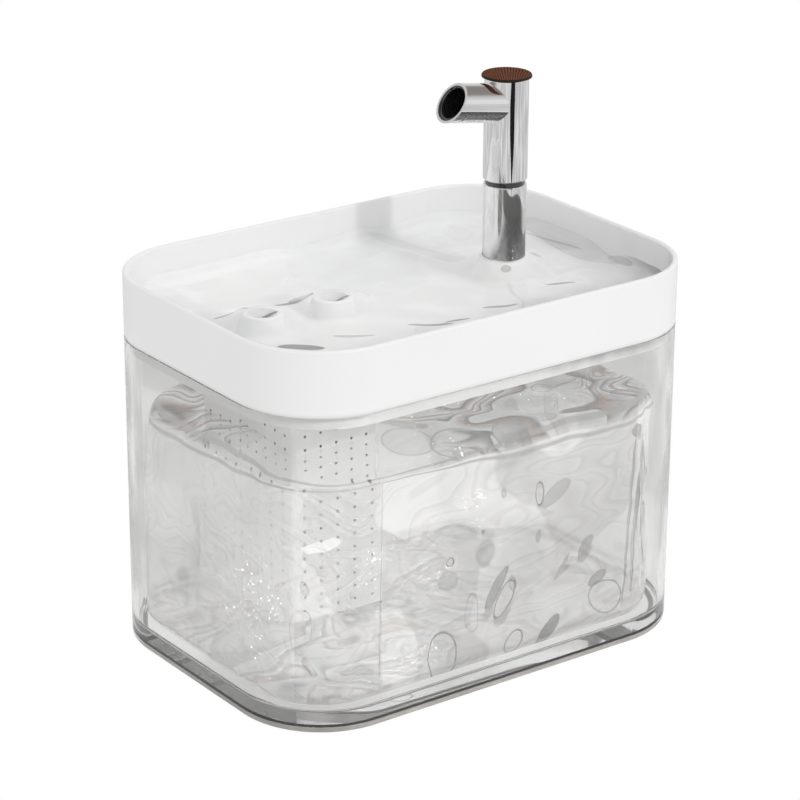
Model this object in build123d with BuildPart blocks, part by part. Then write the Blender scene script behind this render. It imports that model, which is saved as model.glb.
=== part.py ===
from build123d import *
from math import cos, radians, sin
import os

# Pet water fountain: a clear tank, a lift-off drinking tray with a swivel faucet, a hanging
# filter box and a submerged pump. Millimetres. X runs along the tank, Y across it and Z up.
# The origin is the middle of the underside, and the spout points to -X.

os.makedirs("parts", exist_ok=True)

# ---------------------------------------------------------------- driving dimensions
WIDTH = 226.0             # tank and tray, along X
DEPTH = 162.0             # tank and tray, along Y
CORNER = 41.5             # outer corner radius of the plan

FOOT = 0.5                # how far the rubber ring stands below the tank
RING_INSET = 3.2          # outer edge of the rubber ring, in from the tank's side
RING_WIDTH = 4.0
RING_TOP = 2.8
RING_GAP = 0.1            # round the ring in its groove
TANK_FLOOR = 9.0          # top of the thick clear floor
TANK_WALL = 3.0
TANK_TOP = 145.6
TANK_BASE_ROUND = 2.6

TRAY_TOP = 175.0
TRAY_WALL = 2.5
BOWL_FLOOR = 147.4        # top of the tray's floor
TRAY_UNDERSIDE = 144.4
BOWL_ROUND = 6.0
FLANGE_INSET = 3.3        # locating flange that drops into the tank
FLANGE_WALL = 2.0
FLANGE_BOTTOM = 140.0

DRAIN_XS = (-74.4, -37.2)
DRAIN_TOP = 165.7
DRAIN_NECK = 8.8          # outer radius of a drain chimney
DRAIN_FLARE = 8.6         # concave radius where a chimney meets the floor
DRAIN_MOUTH = 6.8
DRAIN_BORE = 5.2
DRAIN_CONE = 7.0          # depth of the cone from mouth to bore
SPIGOT_RADIUS = 7.0
SPIGOT_BOTTOM = 137.0

FAUCET_X = 56.9
BOSS_TOP = 165.5
BOSS_NECK = 11.0
BOSS_FLARE = 7.0
TUBE_RADIUS = 9.8         # lower chrome tube
TAIL_RADIUS = 6.0         # threaded tail through the tray
STEM_SHOULDER = 166.5
TAIL_BOTTOM = 134.0
NIPPLE_BOTTOM = 122.0
NIPPLE_RADIUS = 4.5
STEM_BORE = 5.2
NIPPLE_BORE = 2.8
GROOVE_BOTTOM = 201.2     # dark joint between stem and head
GROOVE_TOP = 203.1
SPIGOT_SWIVEL = 8.0       # radius of the stem inside the head
SWIVEL_TOP = 216.0
O_RING_ZS = (206.5, 211.5)
O_RING = 0.9              # half thickness of an O-ring
HEAD_RADIUS = 10.0
HEAD_TOP = 250.1
CAP_RADIUS = 11.3
CAP_TOP = 251.3
CAP_PLUG = 4.0            # depth of the cap's plug in the head

SPOUT_RADIUS = 8.8
SPOUT_BORE = 7.7
SPOUT_Z = 237.9           # where the spout's axis meets the head's
SPOUT_TILT = 8.9          # degrees above level
MOUTH_TILT = 33.0         # degrees that the mouth's face looks above level
SPOUT_LENGTH = 30.8       # head's axis to the middle of the mouth
SPOUT_SHOULDER = 13.0

FILTER_X = -59.5
FILTER_WIDTH = 45.0
FILTER_DEPTH = 68.0
FILTER_BOTTOM = 35.0
FILTER_WALL = 1.6
FILTER_CORNER = 2.2
HOPPER_X = -56.0
HOPPER_WIDTH = 64.0
HOPPER_START = 125.0
HOPPER_END = 134.0
FILTER_TOP = 144.0
COLLAR_GAP = 0.3          # between filter box and the tray's collar
COLLAR_WALL = 2.0
COLLAR_BOTTOM = 136.0
CARBON_TOP = 74.0
PAD_TOP = 92.0
FRAME_TOP = 95.0

# The pump is drawn with its outlet at OUTLET_X and its axis on Y = 0, then moved to its place
# behind the filter box.
PUMP_SHIFT = -85.0
PUMP_Y = 55.5
PUMP_FRONT = 50.0         # front of the pump housing, along X
PUMP_BACK = 94.0
PUMP_HALF = 19.0          # half of its width
PUMP_BASE = 12.0
PUMP_TOP = 52.0
PUMP_ROUND = 4.0
COVER_FRONT = 46.0
GRILLE_FRONT = 30.0
AXIS_Z = 35.0             # height of the rotor's axis
CHAMBER_RADIUS = 13.0
CHAMBER_BACK = 62.0
WELL_RADIUS = 7.6
WELL_BACK = 88.0
WELL_WALL = 1.4
OUTLET_X = 56.9
OUTLET_RADIUS = 4.5
OUTLET_BORE = 3.2
OUTLET_TOP = 64.0
SHAFT_RADIUS = 1.0
HOSE_BORE = 4.6
HOSE_RADIUS = 6.5
HOSE_BOTTOM = 54.0
HOSE_BEND = 22.0          # radius of the hose's one bend
HOSE_START = 9.0          # end of the hose, out from the faucet's axis
ELBOW_Z = 118.0           # height of the level run of the hose
ELBOW_RADIUS = 6.4
ELBOW_BOTTOM = 112.0
ELBOW_TOP = 133.0
ELBOW_REACH = 24.0

CABLE_X = FAUCET_X        # cable notch, straight behind the faucet
NOTCH_WIDTH = 8.0
NOTCH_DEPTH = 8.0
CABLE_SLIT = 0.4          # through which the cable is pushed in
CABLE_HOLE = 2.2


# ---------------------------------------------------------------- shared helpers
def outline(inset):
    """Rounded plan that tank and tray share, moved inwards."""
    return RectangleRounded(WIDTH - 2 * inset, DEPTH - 2 * inset, CORNER - inset)


def block(bottom, top, inset, mode=Mode.ADD):
    """Prism of the shared plan between two heights."""
    with BuildSketch(Plane.XY.offset(bottom)) as plan:
        outline(inset)
    extrude(plan.sketch, amount=top - bottom, mode=mode)


def spin(x, points, mode=Mode.ADD):
    """Turn a closed (radius, height) outline about the upright line at x."""
    with BuildSketch(Plane.XZ) as half:
        with BuildLine():
            Polyline(*[(x + radius, z) for radius, z in points], close=True)
        make_face()
    revolve(half.sketch, axis=Axis((x, 0, 0), (0, 0, 1)), mode=mode)


def tube(x, inner, outer, bottom, top):
    """Plain upright ring."""
    spin(x, [(inner, bottom), (outer, bottom), (outer, top), (inner, top)])


def upright(x, centre_z):
    """Plane square to the rotor's axis, with local x along Y and local y along Z."""
    return Plane(origin=(x, 0, centre_z), x_dir=(0, 1, 0), z_dir=(1, 0, 0))


def rod(start, end, radius, mode=Mode.ADD, centre_z=AXIS_Z):
    """Cylinder along X on the rotor's axis."""
    with BuildSketch(upright(start, centre_z)) as disc:
        Circle(radius)
    extrude(disc.sketch, amount=end - start, mode=mode)


def pump_slab(start, end, inset, mode=Mode.ADD):
    """Length of the pump's rounded section along X."""
    middle = (PUMP_BASE + PUMP_TOP) / 2
    height = PUMP_TOP - PUMP_BASE - 2 * inset
    with BuildSketch(upright(start, middle)) as section:
        RectangleRounded(2 * (PUMP_HALF - inset), height, PUMP_ROUND - inset / 2)
    extrude(section.sketch, amount=end - start, mode=mode)


def box_section(bottom, top, x, width, depth, radius, mode=Mode.ADD):
    """Upright prism with a rounded rectangle for its plan."""
    with BuildSketch(Plane(origin=(x, 0, bottom))) as plan:
        RectangleRounded(width, depth, radius)
    extrude(plan.sketch, amount=top - bottom, mode=mode)


def round_rims(builder, rim_radius, radius):
    """Round the circular edges that have a given radius."""
    circles = builder.edges().filter_by(GeomType.CIRCLE)
    fillet(circles.filter_by(lambda edge: abs(edge.radius - rim_radius) < 0.01), radius)


def keep(builder, label, place=Location((0, 0, 0))):
    """Name a finished piece, set it in its place and write it."""
    piece = builder.part.moved(place)
    piece.label = label
    export_step(piece, f"parts/{label}.step")


# ---------------------------------------------------------------- tank and its small parts
notch_plane = Plane(origin=(CABLE_X, DEPTH / 2, TANK_TOP), x_dir=(1, 0, 0), z_dir=(0, 1, 0))

with BuildPart() as tank:
    block(FOOT, TANK_TOP, 0)
    fillet(tank.edges().group_by(Axis.Z)[0], TANK_BASE_ROUND)
    block(TANK_FLOOR, TANK_TOP, TANK_WALL, Mode.SUBTRACT)
    fillet(tank.edges().group_by(Axis.Z)[-1], 0.6)
    floor_edges = tank.edges().filter_by_position(Axis.Z, TANK_FLOOR - 0.01, TANK_FLOOR + 0.01)
    fillet(floor_edges, 3.0)
    # Groove for the rubber ring.
    groove_inner = RING_INSET + RING_WIDTH + RING_GAP
    with BuildSketch(Plane.XY.offset(FOOT)):
        outline(RING_INSET - RING_GAP)
        RectangleRounded(WIDTH - 2 * groove_inner, DEPTH - 2 * groove_inner, CORNER - groove_inner,
                         mode=Mode.SUBTRACT)
    extrude(amount=RING_TOP - FOOT, mode=Mode.SUBTRACT)
    with BuildSketch(notch_plane):
        SlotOverall(2 * NOTCH_DEPTH, NOTCH_WIDTH, rotation=90)
    extrude(amount=-(TANK_WALL + 1), mode=Mode.SUBTRACT)
keep(tank, "tank")

with BuildPart() as base_ring:
    block(0, RING_TOP, RING_INSET)
    block(0, RING_TOP, RING_INSET + RING_WIDTH, Mode.SUBTRACT)
    fillet(base_ring.edges().group_by(Axis.Z)[0], 0.4)
keep(base_ring, "base_ring")

with BuildPart() as cable_grommet:
    with BuildSketch(notch_plane):
        SlotOverall(2 * NOTCH_DEPTH, NOTCH_WIDTH, rotation=90)
        with Locations((0, -NOTCH_DEPTH / 2)):
            Rectangle(NOTCH_WIDTH, NOTCH_DEPTH, mode=Mode.SUBTRACT)
        with Locations((0, NOTCH_DEPTH / 2)):
            Circle(CABLE_HOLE, mode=Mode.SUBTRACT)
        with Locations((0, NOTCH_DEPTH / 4)):
            Rectangle(CABLE_SLIT, NOTCH_DEPTH / 2, mode=Mode.SUBTRACT)
    extrude(amount=-TANK_WALL)
keep(cable_grommet, "cable_grommet")


# ---------------------------------------------------------------- drinking tray
def chimney(x, neck, flare, top, lip):
    """Solid column on the bowl's floor, with a concave foot and a rounded lip."""
    with BuildSketch(Plane.XZ) as half:
        with BuildLine():
            Line((x, BOWL_FLOOR - 1), (x + neck + flare, BOWL_FLOOR - 1))
            Line((x + neck + flare, BOWL_FLOOR - 1), (x + neck + flare, BOWL_FLOOR))
            RadiusArc((x + neck + flare, BOWL_FLOOR), (x + neck, BOWL_FLOOR + flare), flare)
            Line((x + neck, BOWL_FLOOR + flare), (x + neck, top - lip))
            RadiusArc((x + neck, top - lip), (x + neck - lip, top), -lip)
            Line((x + neck - lip, top), (x, top))
            Line((x, top), (x, BOWL_FLOOR - 1))
        make_face()
    revolve(half.sketch, axis=Axis((x, 0, 0), (0, 0, 1)))


with BuildPart() as tray:
    block(TANK_TOP, TRAY_TOP, 0)
    block(BOWL_FLOOR, TRAY_TOP, TRAY_WALL, Mode.SUBTRACT)
    bowl_edges = tray.edges().filter_by_position(Axis.Z, BOWL_FLOOR - 0.01, BOWL_FLOOR + 0.01)
    fillet(bowl_edges, BOWL_ROUND)
    fillet(tray.edges().group_by(Axis.Z)[-1], 1.15)
    fillet(tray.edges().group_by(Axis.Z)[0], 0.4)
    block(FLANGE_BOTTOM, TANK_TOP, FLANGE_INSET)
    block(FLANGE_BOTTOM, TRAY_UNDERSIDE, FLANGE_INSET + FLANGE_WALL, Mode.SUBTRACT)
    # Collar that grips the filter box.
    collar_width = HOPPER_WIDTH + 2 * COLLAR_GAP
    collar_depth = FILTER_DEPTH + 2 * COLLAR_GAP
    collar_corner = FILTER_CORNER + COLLAR_GAP
    with BuildSketch(Plane(origin=(HOPPER_X, 0, COLLAR_BOTTOM))):
        RectangleRounded(collar_width + 2 * COLLAR_WALL, collar_depth + 2 * COLLAR_WALL,
                         collar_corner + COLLAR_WALL)
        RectangleRounded(collar_width, collar_depth, collar_corner, mode=Mode.SUBTRACT)
    extrude(amount=TRAY_UNDERSIDE - COLLAR_BOTTOM)
    for drain_x in DRAIN_XS:
        chimney(drain_x, DRAIN_NECK, DRAIN_FLARE, DRAIN_TOP, 1.0)
        tube(drain_x, 0, SPIGOT_RADIUS, SPIGOT_BOTTOM, BOWL_FLOOR)
        drain_way = [
            (0, SPIGOT_BOTTOM),
            (DRAIN_BORE, SPIGOT_BOTTOM),
            (DRAIN_BORE, DRAIN_TOP - DRAIN_CONE),
            (DRAIN_MOUTH, DRAIN_TOP),
            (0, DRAIN_TOP),
        ]
        spin(drain_x, drain_way, Mode.SUBTRACT)
    chimney(FAUCET_X, BOSS_NECK, BOSS_FLARE, BOSS_TOP, 1.2)
    tail_way = [
        (0, TRAY_UNDERSIDE),
        (TAIL_RADIUS + 0.1, TRAY_UNDERSIDE),
        (TAIL_RADIUS + 0.1, BOSS_TOP),
        (0, BOSS_TOP),
    ]
    spin(FAUCET_X, tail_way, Mode.SUBTRACT)
    # Way for the cable through the flange.
    flange_middle = DEPTH / 2 - FLANGE_INSET - FLANGE_WALL / 2
    with BuildSketch(Plane(origin=(CABLE_X, flange_middle, FLANGE_BOTTOM))):
        Rectangle(NOTCH_WIDTH + 4, FLANGE_WALL + 1)
    extrude(amount=TRAY_UNDERSIDE - FLANGE_BOTTOM, mode=Mode.SUBTRACT)
keep(tray, "tray")

# ---------------------------------------------------------------- faucet stem on the tray
O_RING_SEAT = 1.6         # depth of an O-ring's groove
NIPPLE_TAPER = 2.0
TUBE_ROUND = 0.5

stem_outline = [
    (NIPPLE_BORE, NIPPLE_BOTTOM),
    (NIPPLE_RADIUS - 0.6, NIPPLE_BOTTOM),
    (NIPPLE_RADIUS, NIPPLE_BOTTOM + NIPPLE_TAPER),
    (NIPPLE_RADIUS, TAIL_BOTTOM),
    (TAIL_RADIUS, TAIL_BOTTOM),
    (TAIL_RADIUS, STEM_SHOULDER),
    (TUBE_RADIUS, STEM_SHOULDER),
    (TUBE_RADIUS, GROOVE_BOTTOM),
    (SPIGOT_SWIVEL, GROOVE_BOTTOM),
    (SPIGOT_SWIVEL, SWIVEL_TOP),
    (STEM_BORE, SWIVEL_TOP),
    (STEM_BORE, STEM_SHOULDER + 4),
    (NIPPLE_BORE, STEM_SHOULDER + 1),
]

with BuildPart() as faucet_stem:
    spin(FAUCET_X, stem_outline)
    for ring_z in O_RING_ZS:
        seat = [
            (SPIGOT_SWIVEL - O_RING_SEAT, ring_z - O_RING),
            (SPIGOT_SWIVEL + 1, ring_z - O_RING),
            (SPIGOT_SWIVEL + 1, ring_z + O_RING),
            (SPIGOT_SWIVEL - O_RING_SEAT, ring_z + O_RING),
        ]
        spin(FAUCET_X, seat, Mode.SUBTRACT)
    round_rims(faucet_stem, TUBE_RADIUS, TUBE_ROUND)
keep(faucet_stem, "faucet_stem")

O_RING_SECTION = 0.75

with BuildPart() as head_o_rings:
    for ring_z in O_RING_ZS:
        with BuildSketch(Plane.XZ):
            with Locations((FAUCET_X + SPIGOT_SWIVEL - O_RING_SECTION, ring_z)):
                Circle(O_RING_SECTION)
        revolve(axis=Axis((FAUCET_X, 0, 0), (0, 0, 1)))
keep(head_o_rings, "head_o_rings")

with BuildPart() as swivel_washer:
    tube(FAUCET_X, SPIGOT_SWIVEL + 0.1, TUBE_RADIUS - 0.7, GROOVE_BOTTOM, GROOVE_TOP)
keep(swivel_washer, "swivel_washer")

with BuildPart() as stem_gasket:
    tube(FAUCET_X, TAIL_RADIUS + 0.1, TUBE_RADIUS - 0.4, BOSS_TOP, STEM_SHOULDER)
keep(stem_gasket, "stem_gasket")

WASHER_THICK = 1.0
WASHER_RADIUS = 11.0
NUT_HEIGHT = 6.0
NUT_FLATS = 19.0          # across the nut's flats

with BuildPart() as nut_washer:
    tube(FAUCET_X, TAIL_RADIUS + 0.1, WASHER_RADIUS, TRAY_UNDERSIDE - WASHER_THICK, TRAY_UNDERSIDE)
keep(nut_washer, "nut_washer")

with BuildPart() as faucet_nut:
    with BuildSketch(Plane(origin=(FAUCET_X, 0, TRAY_UNDERSIDE - WASHER_THICK - NUT_HEIGHT))):
        RegularPolygon(NUT_FLATS / 2, 6, major_radius=False)
        Circle(TAIL_RADIUS + 0.05, mode=Mode.SUBTRACT)
    extrude(amount=NUT_HEIGHT)
keep(faucet_nut, "faucet_nut")

# Elbow under the stem, and the hose from it to the pump's outlet.
elbow_middle = Vector(FAUCET_X, 0, ELBOW_Z)
hose_corner = Vector(OUTLET_X + PUMP_SHIFT, PUMP_Y, ELBOW_Z)
hose_way = (hose_corner - elbow_middle).normalized()
SOCKET_BOTTOM = NIPPLE_BOTTOM - 0.3
ELBOW_BORE = 3.0


def hose_plane(along):
    """Plane square to the hose's level run, at a distance from the faucet's axis."""
    return Plane(origin=elbow_middle + hose_way * along, x_dir=(0, 0, 1), z_dir=hose_way)


def hose_rod(end, radius, mode=Mode.ADD):
    """Cylinder along the hose's level run, from the faucet's axis."""
    with BuildSketch(hose_plane(0)) as disc:
        Circle(radius)
    extrude(disc.sketch, amount=end, mode=mode)


with BuildPart() as hose_elbow:
    tube(FAUCET_X, 0, ELBOW_RADIUS, ELBOW_BOTTOM, ELBOW_TOP)
    round_rims(hose_elbow, ELBOW_RADIUS, 1.0)
    hose_rod(ELBOW_REACH, NIPPLE_RADIUS)
    hose_rod(ELBOW_REACH, ELBOW_BORE, Mode.SUBTRACT)
    upright_way = [
        (0, ELBOW_Z),
        (ELBOW_BORE, ELBOW_Z),
        (ELBOW_BORE, SOCKET_BOTTOM),
        (NIPPLE_RADIUS + 0.1, SOCKET_BOTTOM),
        (NIPPLE_RADIUS + 0.1, ELBOW_TOP),
        (0, ELBOW_TOP),
    ]
    spin(FAUCET_X, upright_way, Mode.SUBTRACT)
keep(hose_elbow, "hose_elbow")

with BuildPart() as riser_hose:
    with BuildLine() as hose_route:
        FilletPolyline(
            elbow_middle + hose_way * HOSE_START,
            hose_corner,
            hose_corner - Vector(0, 0, ELBOW_Z - HOSE_BOTTOM),
            radius=HOSE_BEND,
        )
    with BuildSketch(hose_plane(HOSE_START)) as hose_section:
        Circle(HOSE_RADIUS)
        Circle(HOSE_BORE, mode=Mode.SUBTRACT)
    sweep(hose_section.sketch, path=hose_route.line)
keep(riser_hose, "riser_hose")
hose_length = sum(edge.length for edge in hose_route.edges())
print("hose volume over section times length:", riser_hose.part.volume / (hose_section.sketch.area * hose_length))

# ---------------------------------------------------------------- swivel head and spout
spout_way = Vector(-cos(radians(SPOUT_TILT)), 0, sin(radians(SPOUT_TILT)))
mouth_way = Vector(-cos(radians(MOUTH_TILT)), 0, sin(radians(MOUTH_TILT)))
spout_root = Vector(FAUCET_X, 0, SPOUT_Z)
mouth_middle = spout_root + spout_way * SPOUT_LENGTH
OVERCUT = 8.0


def spout_plane(along):
    """Plane square to the spout's axis, at a distance from the head's axis."""
    return Plane(origin=spout_root + spout_way * along, x_dir=(0, 1, 0), z_dir=spout_way)


def spout_rod(start, end, radius, mode=Mode.ADD):
    """Cylinder along the spout's axis."""
    with BuildSketch(spout_plane(start)) as disc:
        Circle(radius)
    extrude(disc.sketch, amount=end - start, mode=mode)


def cut_mouth(recess):
    """Slice off everything past the slanted mouth, less a recess."""
    split(bisect_by=Plane(origin=mouth_middle - mouth_way * recess, x_dir=(0, 1, 0), z_dir=mouth_way),
          keep=Keep.BOTTOM)


HEAD_BORE = 6.6
WATERWAY = 4.6            # bore from the head into the spout
HEAD_ROUND = 0.7

head_bore = [
    (0, GROOVE_TOP),
    (SPIGOT_SWIVEL + 0.08, GROOVE_TOP),
    (SPIGOT_SWIVEL + 0.08, SWIVEL_TOP + 1),
    (HEAD_BORE, SWIVEL_TOP + 3),
    (HEAD_BORE, HEAD_TOP - CAP_PLUG - 0.5),
    (SPIGOT_SWIVEL, HEAD_TOP - CAP_PLUG - 0.5),
    (SPIGOT_SWIVEL, HEAD_TOP),
    (0, HEAD_TOP),
]

with BuildPart() as faucet_head:
    tube(FAUCET_X, 0, HEAD_RADIUS, GROOVE_TOP, HEAD_TOP)
    spout_rod(0, SPOUT_LENGTH + OVERCUT, SPOUT_RADIUS)
    cut_mouth(0)
    spin(FAUCET_X, head_bore, Mode.SUBTRACT)
    spout_rod(0, SPOUT_SHOULDER, WATERWAY, Mode.SUBTRACT)
    spout_rod(SPOUT_SHOULDER, SPOUT_LENGTH + OVERCUT, SPOUT_BORE, Mode.SUBTRACT)
    round_rims(faucet_head, HEAD_RADIUS, HEAD_ROUND)
keep(faucet_head, "faucet_head")

LINER_WALL = 1.0
LINER_GAP = 0.05
LINER_RECESS = 0.8        # liner's edge, in from the mouth
AERATOR_START = 15.0
AERATOR_THICK = 3.0
AERATOR_HOLE = 0.8

with BuildPart() as spout_liner:
    spout_rod(SPOUT_SHOULDER, SPOUT_LENGTH + OVERCUT, SPOUT_BORE - LINER_GAP)
    spout_rod(SPOUT_SHOULDER, SPOUT_LENGTH + OVERCUT, SPOUT_BORE - LINER_GAP - LINER_WALL, Mode.SUBTRACT)
    cut_mouth(LINER_RECESS)
keep(spout_liner, "spout_liner")

with BuildPart() as aerator:
    with BuildSketch(spout_plane(AERATOR_START)):
        Circle(SPOUT_BORE - LINER_WALL - 0.1)
        with HexLocations(1.35, 5, 5):
            Circle(AERATOR_HOLE, mode=Mode.SUBTRACT)
    extrude(amount=AERATOR_THICK)
keep(aerator, "aerator")

CAP_SEAT = 9.6            # radius at which the cap's cone meets the head
CAP_RIM_BOTTOM = 250.75
CAP_RIM_TOP = 250.95
CAP_BEVEL = 0.4

cap_disc = [
    (0, HEAD_TOP),
    (CAP_SEAT, HEAD_TOP),
    (CAP_RADIUS, CAP_RIM_BOTTOM),
    (CAP_RADIUS, CAP_RIM_TOP),
    (CAP_RADIUS - CAP_BEVEL, CAP_TOP),
    (0, CAP_TOP),
]
PLUG_RADIUS = SPIGOT_SWIVEL - 0.1
PLUG_BORE = 4.5
PLUG_GROOVE = 1.1         # depth of the O-ring's groove in the plug
GROOVE_LOW = 2.6          # groove's faces, down from the head's top
GROOVE_HIGH = 1.2

cap_plug = [
    (PLUG_BORE, HEAD_TOP - CAP_PLUG),
    (PLUG_RADIUS, HEAD_TOP - CAP_PLUG),
    (PLUG_RADIUS, HEAD_TOP - GROOVE_LOW),
    (PLUG_RADIUS - PLUG_GROOVE, HEAD_TOP - GROOVE_LOW),
    (PLUG_RADIUS - PLUG_GROOVE, HEAD_TOP - GROOVE_HIGH),
    (PLUG_RADIUS, HEAD_TOP - GROOVE_HIGH),
    (PLUG_RADIUS, HEAD_TOP),
    (PLUG_BORE, HEAD_TOP),
]

with BuildPart() as faucet_cap:
    spin(FAUCET_X, cap_disc)
    spin(FAUCET_X, cap_plug)
keep(faucet_cap, "faucet_cap")

CAP_RING_SECTION = 0.55

with BuildPart() as cap_o_ring:
    with BuildSketch(Plane.XZ):
        with Locations((FAUCET_X + PLUG_RADIUS - 0.52, HEAD_TOP - (GROOVE_LOW + GROOVE_HIGH) / 2)):
            Circle(CAP_RING_SECTION)
    revolve(axis=Axis((FAUCET_X, 0, 0), (0, 0, 1)))
keep(cap_o_ring, "cap_o_ring")

# ---------------------------------------------------------------- filter box and its filling
inner_width = FILTER_WIDTH - 2 * FILTER_WALL
inner_depth = FILTER_DEPTH - 2 * FILTER_WALL
FILL_GAP = 0.2
FILL_CORNER = 0.5


def filter_body(inset, bottom, top, mode):
    """Box below, widening to the hopper above."""
    box_width = FILTER_WIDTH - 2 * inset
    brim_width = HOPPER_WIDTH - 2 * inset
    depth = FILTER_DEPTH - 2 * inset
    corner = FILTER_CORNER - inset
    box_section(bottom, HOPPER_START, FILTER_X, box_width, depth, corner, mode)
    with BuildSketch(Plane(origin=(FILTER_X, 0, HOPPER_START))) as waist:
        RectangleRounded(box_width, depth, corner)
    with BuildSketch(Plane(origin=(HOPPER_X, 0, HOPPER_END))) as brim:
        RectangleRounded(brim_width, depth, corner)
    loft([waist.sketch, brim.sketch], mode=mode)
    box_section(HOPPER_END, top, HOPPER_X, brim_width, depth, corner, mode)


def filling(bottom, top):
    """Slice of what lies loose in the filter box."""
    box_section(bottom, top, FILTER_X, inner_width - 2 * FILL_GAP, inner_depth - 2 * FILL_GAP, FILL_CORNER)


with BuildPart() as filter_box:
    filter_body(0, FILTER_BOTTOM, FILTER_TOP, Mode.ADD)
    filter_body(FILTER_WALL, FILTER_BOTTOM + FILTER_WALL, FILTER_TOP, Mode.SUBTRACT)
keep(filter_box, "filter_box")

with BuildPart() as carbon_bed:
    filling(FILTER_BOTTOM + FILTER_WALL, CARBON_TOP)
keep(carbon_bed, "carbon_bed")

with BuildPart() as filter_pad:
    filling(CARBON_TOP, PAD_TOP)
keep(filter_pad, "filter_pad")

HANDLE_TOP = 108.0
HANDLE_WIDTH = 18.0
HANDLE_BAR = 3.0
HANDLE_THICK = 2.0
WINDOW = 7.0
WINDOW_XS = (-13.5, -4.5, 4.5, 13.5)
WINDOW_YS = (-24, -15, 15, 24)

handle_plane = Plane(origin=(FILTER_X - HANDLE_THICK / 2, 0, FRAME_TOP), x_dir=(0, 1, 0), z_dir=(1, 0, 0))
handle_height = HANDLE_TOP - FRAME_TOP

with BuildPart() as filter_frame:
    filling(PAD_TOP, FRAME_TOP)
    with BuildSketch(Plane(origin=(FILTER_X, 0, PAD_TOP))):
        for window_y in WINDOW_YS:
            for window_x in WINDOW_XS:
                with Locations((window_x, window_y)):
                    RectangleRounded(WINDOW, WINDOW, 1)
    extrude(amount=FRAME_TOP - PAD_TOP, mode=Mode.SUBTRACT)
    with BuildSketch(handle_plane):
        with Locations((0, handle_height / 2)):
            RectangleRounded(HANDLE_WIDTH, handle_height, HANDLE_BAR)
            RectangleRounded(HANDLE_WIDTH - 2 * HANDLE_BAR, handle_height - 2 * HANDLE_BAR, 2,
                             mode=Mode.SUBTRACT)
    extrude(amount=HANDLE_THICK)
keep(filter_frame, "filter_frame")

# ---------------------------------------------------------------- pump
PUMP_PLACE = Location((PUMP_SHIFT, PUMP_Y, 0))
CAVITY_FRONT = 66.0
CAVITY_INSET = 2.4
BACK_COVER_FRONT = 91.0
CUP_XS = (56.0, 88.0)
CUP_Y = 12.5
STUD_RADIUS = 1.8
STUD_TOP = 13.6
COLLAR_HEIGHT = 1.4       # ring at the foot of the outlet

with BuildPart() as pump_housing:
    pump_slab(PUMP_FRONT, PUMP_BACK, 0)
    pump_slab(CAVITY_FRONT, PUMP_BACK, CAVITY_INSET, Mode.SUBTRACT)
    rod(CHAMBER_BACK, WELL_BACK + WELL_WALL, WELL_RADIUS + WELL_WALL)
    rod(CHAMBER_BACK, WELL_BACK, WELL_RADIUS, Mode.SUBTRACT)
    rod(PUMP_FRONT, CHAMBER_BACK, CHAMBER_RADIUS, Mode.SUBTRACT)
    tube(OUTLET_X, 0, OUTLET_RADIUS, PUMP_TOP, OUTLET_TOP)
    tube(OUTLET_X, 0, OUTLET_RADIUS + 2, PUMP_TOP - 1, PUMP_TOP + COLLAR_HEIGHT)
    outlet_way = [
        (0, AXIS_Z + CHAMBER_RADIUS - 2),
        (OUTLET_BORE, AXIS_Z + CHAMBER_RADIUS - 2),
        (OUTLET_BORE, OUTLET_TOP),
        (0, OUTLET_TOP),
    ]
    spin(OUTLET_X, outlet_way, Mode.SUBTRACT)
    with BuildSketch(Plane.XY.offset(PUMP_BASE)):
        for cup_x in CUP_XS:
            with Locations((cup_x, CUP_Y), (cup_x, -CUP_Y)):
                Circle(STUD_RADIUS)
    extrude(amount=STUD_TOP - PUMP_BASE, mode=Mode.SUBTRACT)
keep(pump_housing, "pump_housing", PUMP_PLACE)

CUP_RADIUS = 6.0
NECK_RADIUS = 2.6

cup_outline = [
    (0, STUD_TOP),
    (STUD_RADIUS, STUD_TOP),
    (STUD_RADIUS, PUMP_BASE),
    (NECK_RADIUS, PUMP_BASE),
    (NECK_RADIUS + 0.6, PUMP_BASE - 1.2),
    (CUP_RADIUS, TANK_FLOOR),
    (CUP_RADIUS - 0.8, TANK_FLOOR),
    (NECK_RADIUS - 0.2, PUMP_BASE - 2.1),
    (0, PUMP_BASE - 1.8),
]

with BuildPart() as suction_cups:
    for cup_x in CUP_XS:
        for cup_y in (CUP_Y, -CUP_Y):
            with BuildSketch(Plane.XZ.offset(-cup_y)) as cup_half:
                with BuildLine():
                    Polyline(*[(cup_x + radius, z) for radius, z in cup_outline], close=True)
                make_face()
            revolve(cup_half.sketch, axis=Axis((cup_x, cup_y, 0), (0, 0, 1)))
keep(suction_cups, "suction_cups", PUMP_PLACE)

BUSH_RADIUS = 2.4
INLET_CIRCLE = 5.4        # radius on which the four inlet holes lie
INLET_RADIUS = 2.3
RAIL_FRONT = 44.2
RAIL_HEIGHT = 1.5
RAIL_LENGTH = 18.0
RAIL_Y = 8.0              # middle of the rails
SLIDER_HALF = 6.0

with BuildPart() as pump_cover:
    pump_slab(COVER_FRONT, PUMP_FRONT, 0)
    with BuildSketch(upright(COVER_FRONT, AXIS_Z)):
        with PolarLocations(INLET_CIRCLE, 4):
            Circle(INLET_RADIUS)
        Circle(BUSH_RADIUS)
    extrude(amount=PUMP_FRONT - COVER_FRONT, mode=Mode.SUBTRACT)
    rod(COVER_FRONT, COVER_FRONT + 0.6, BUSH_RADIUS)
    # Two rails for the flow slider.
    for side in (-1, 1):
        with BuildSketch(upright(RAIL_FRONT, AXIS_Z)):
            with Locations((RAIL_Y, side * (SLIDER_HALF + 0.1 + RAIL_HEIGHT / 2))):
                Rectangle(RAIL_LENGTH, RAIL_HEIGHT)
        extrude(amount=COVER_FRONT - RAIL_FRONT)
keep(pump_cover, "pump_cover", PUMP_PLACE)

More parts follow.
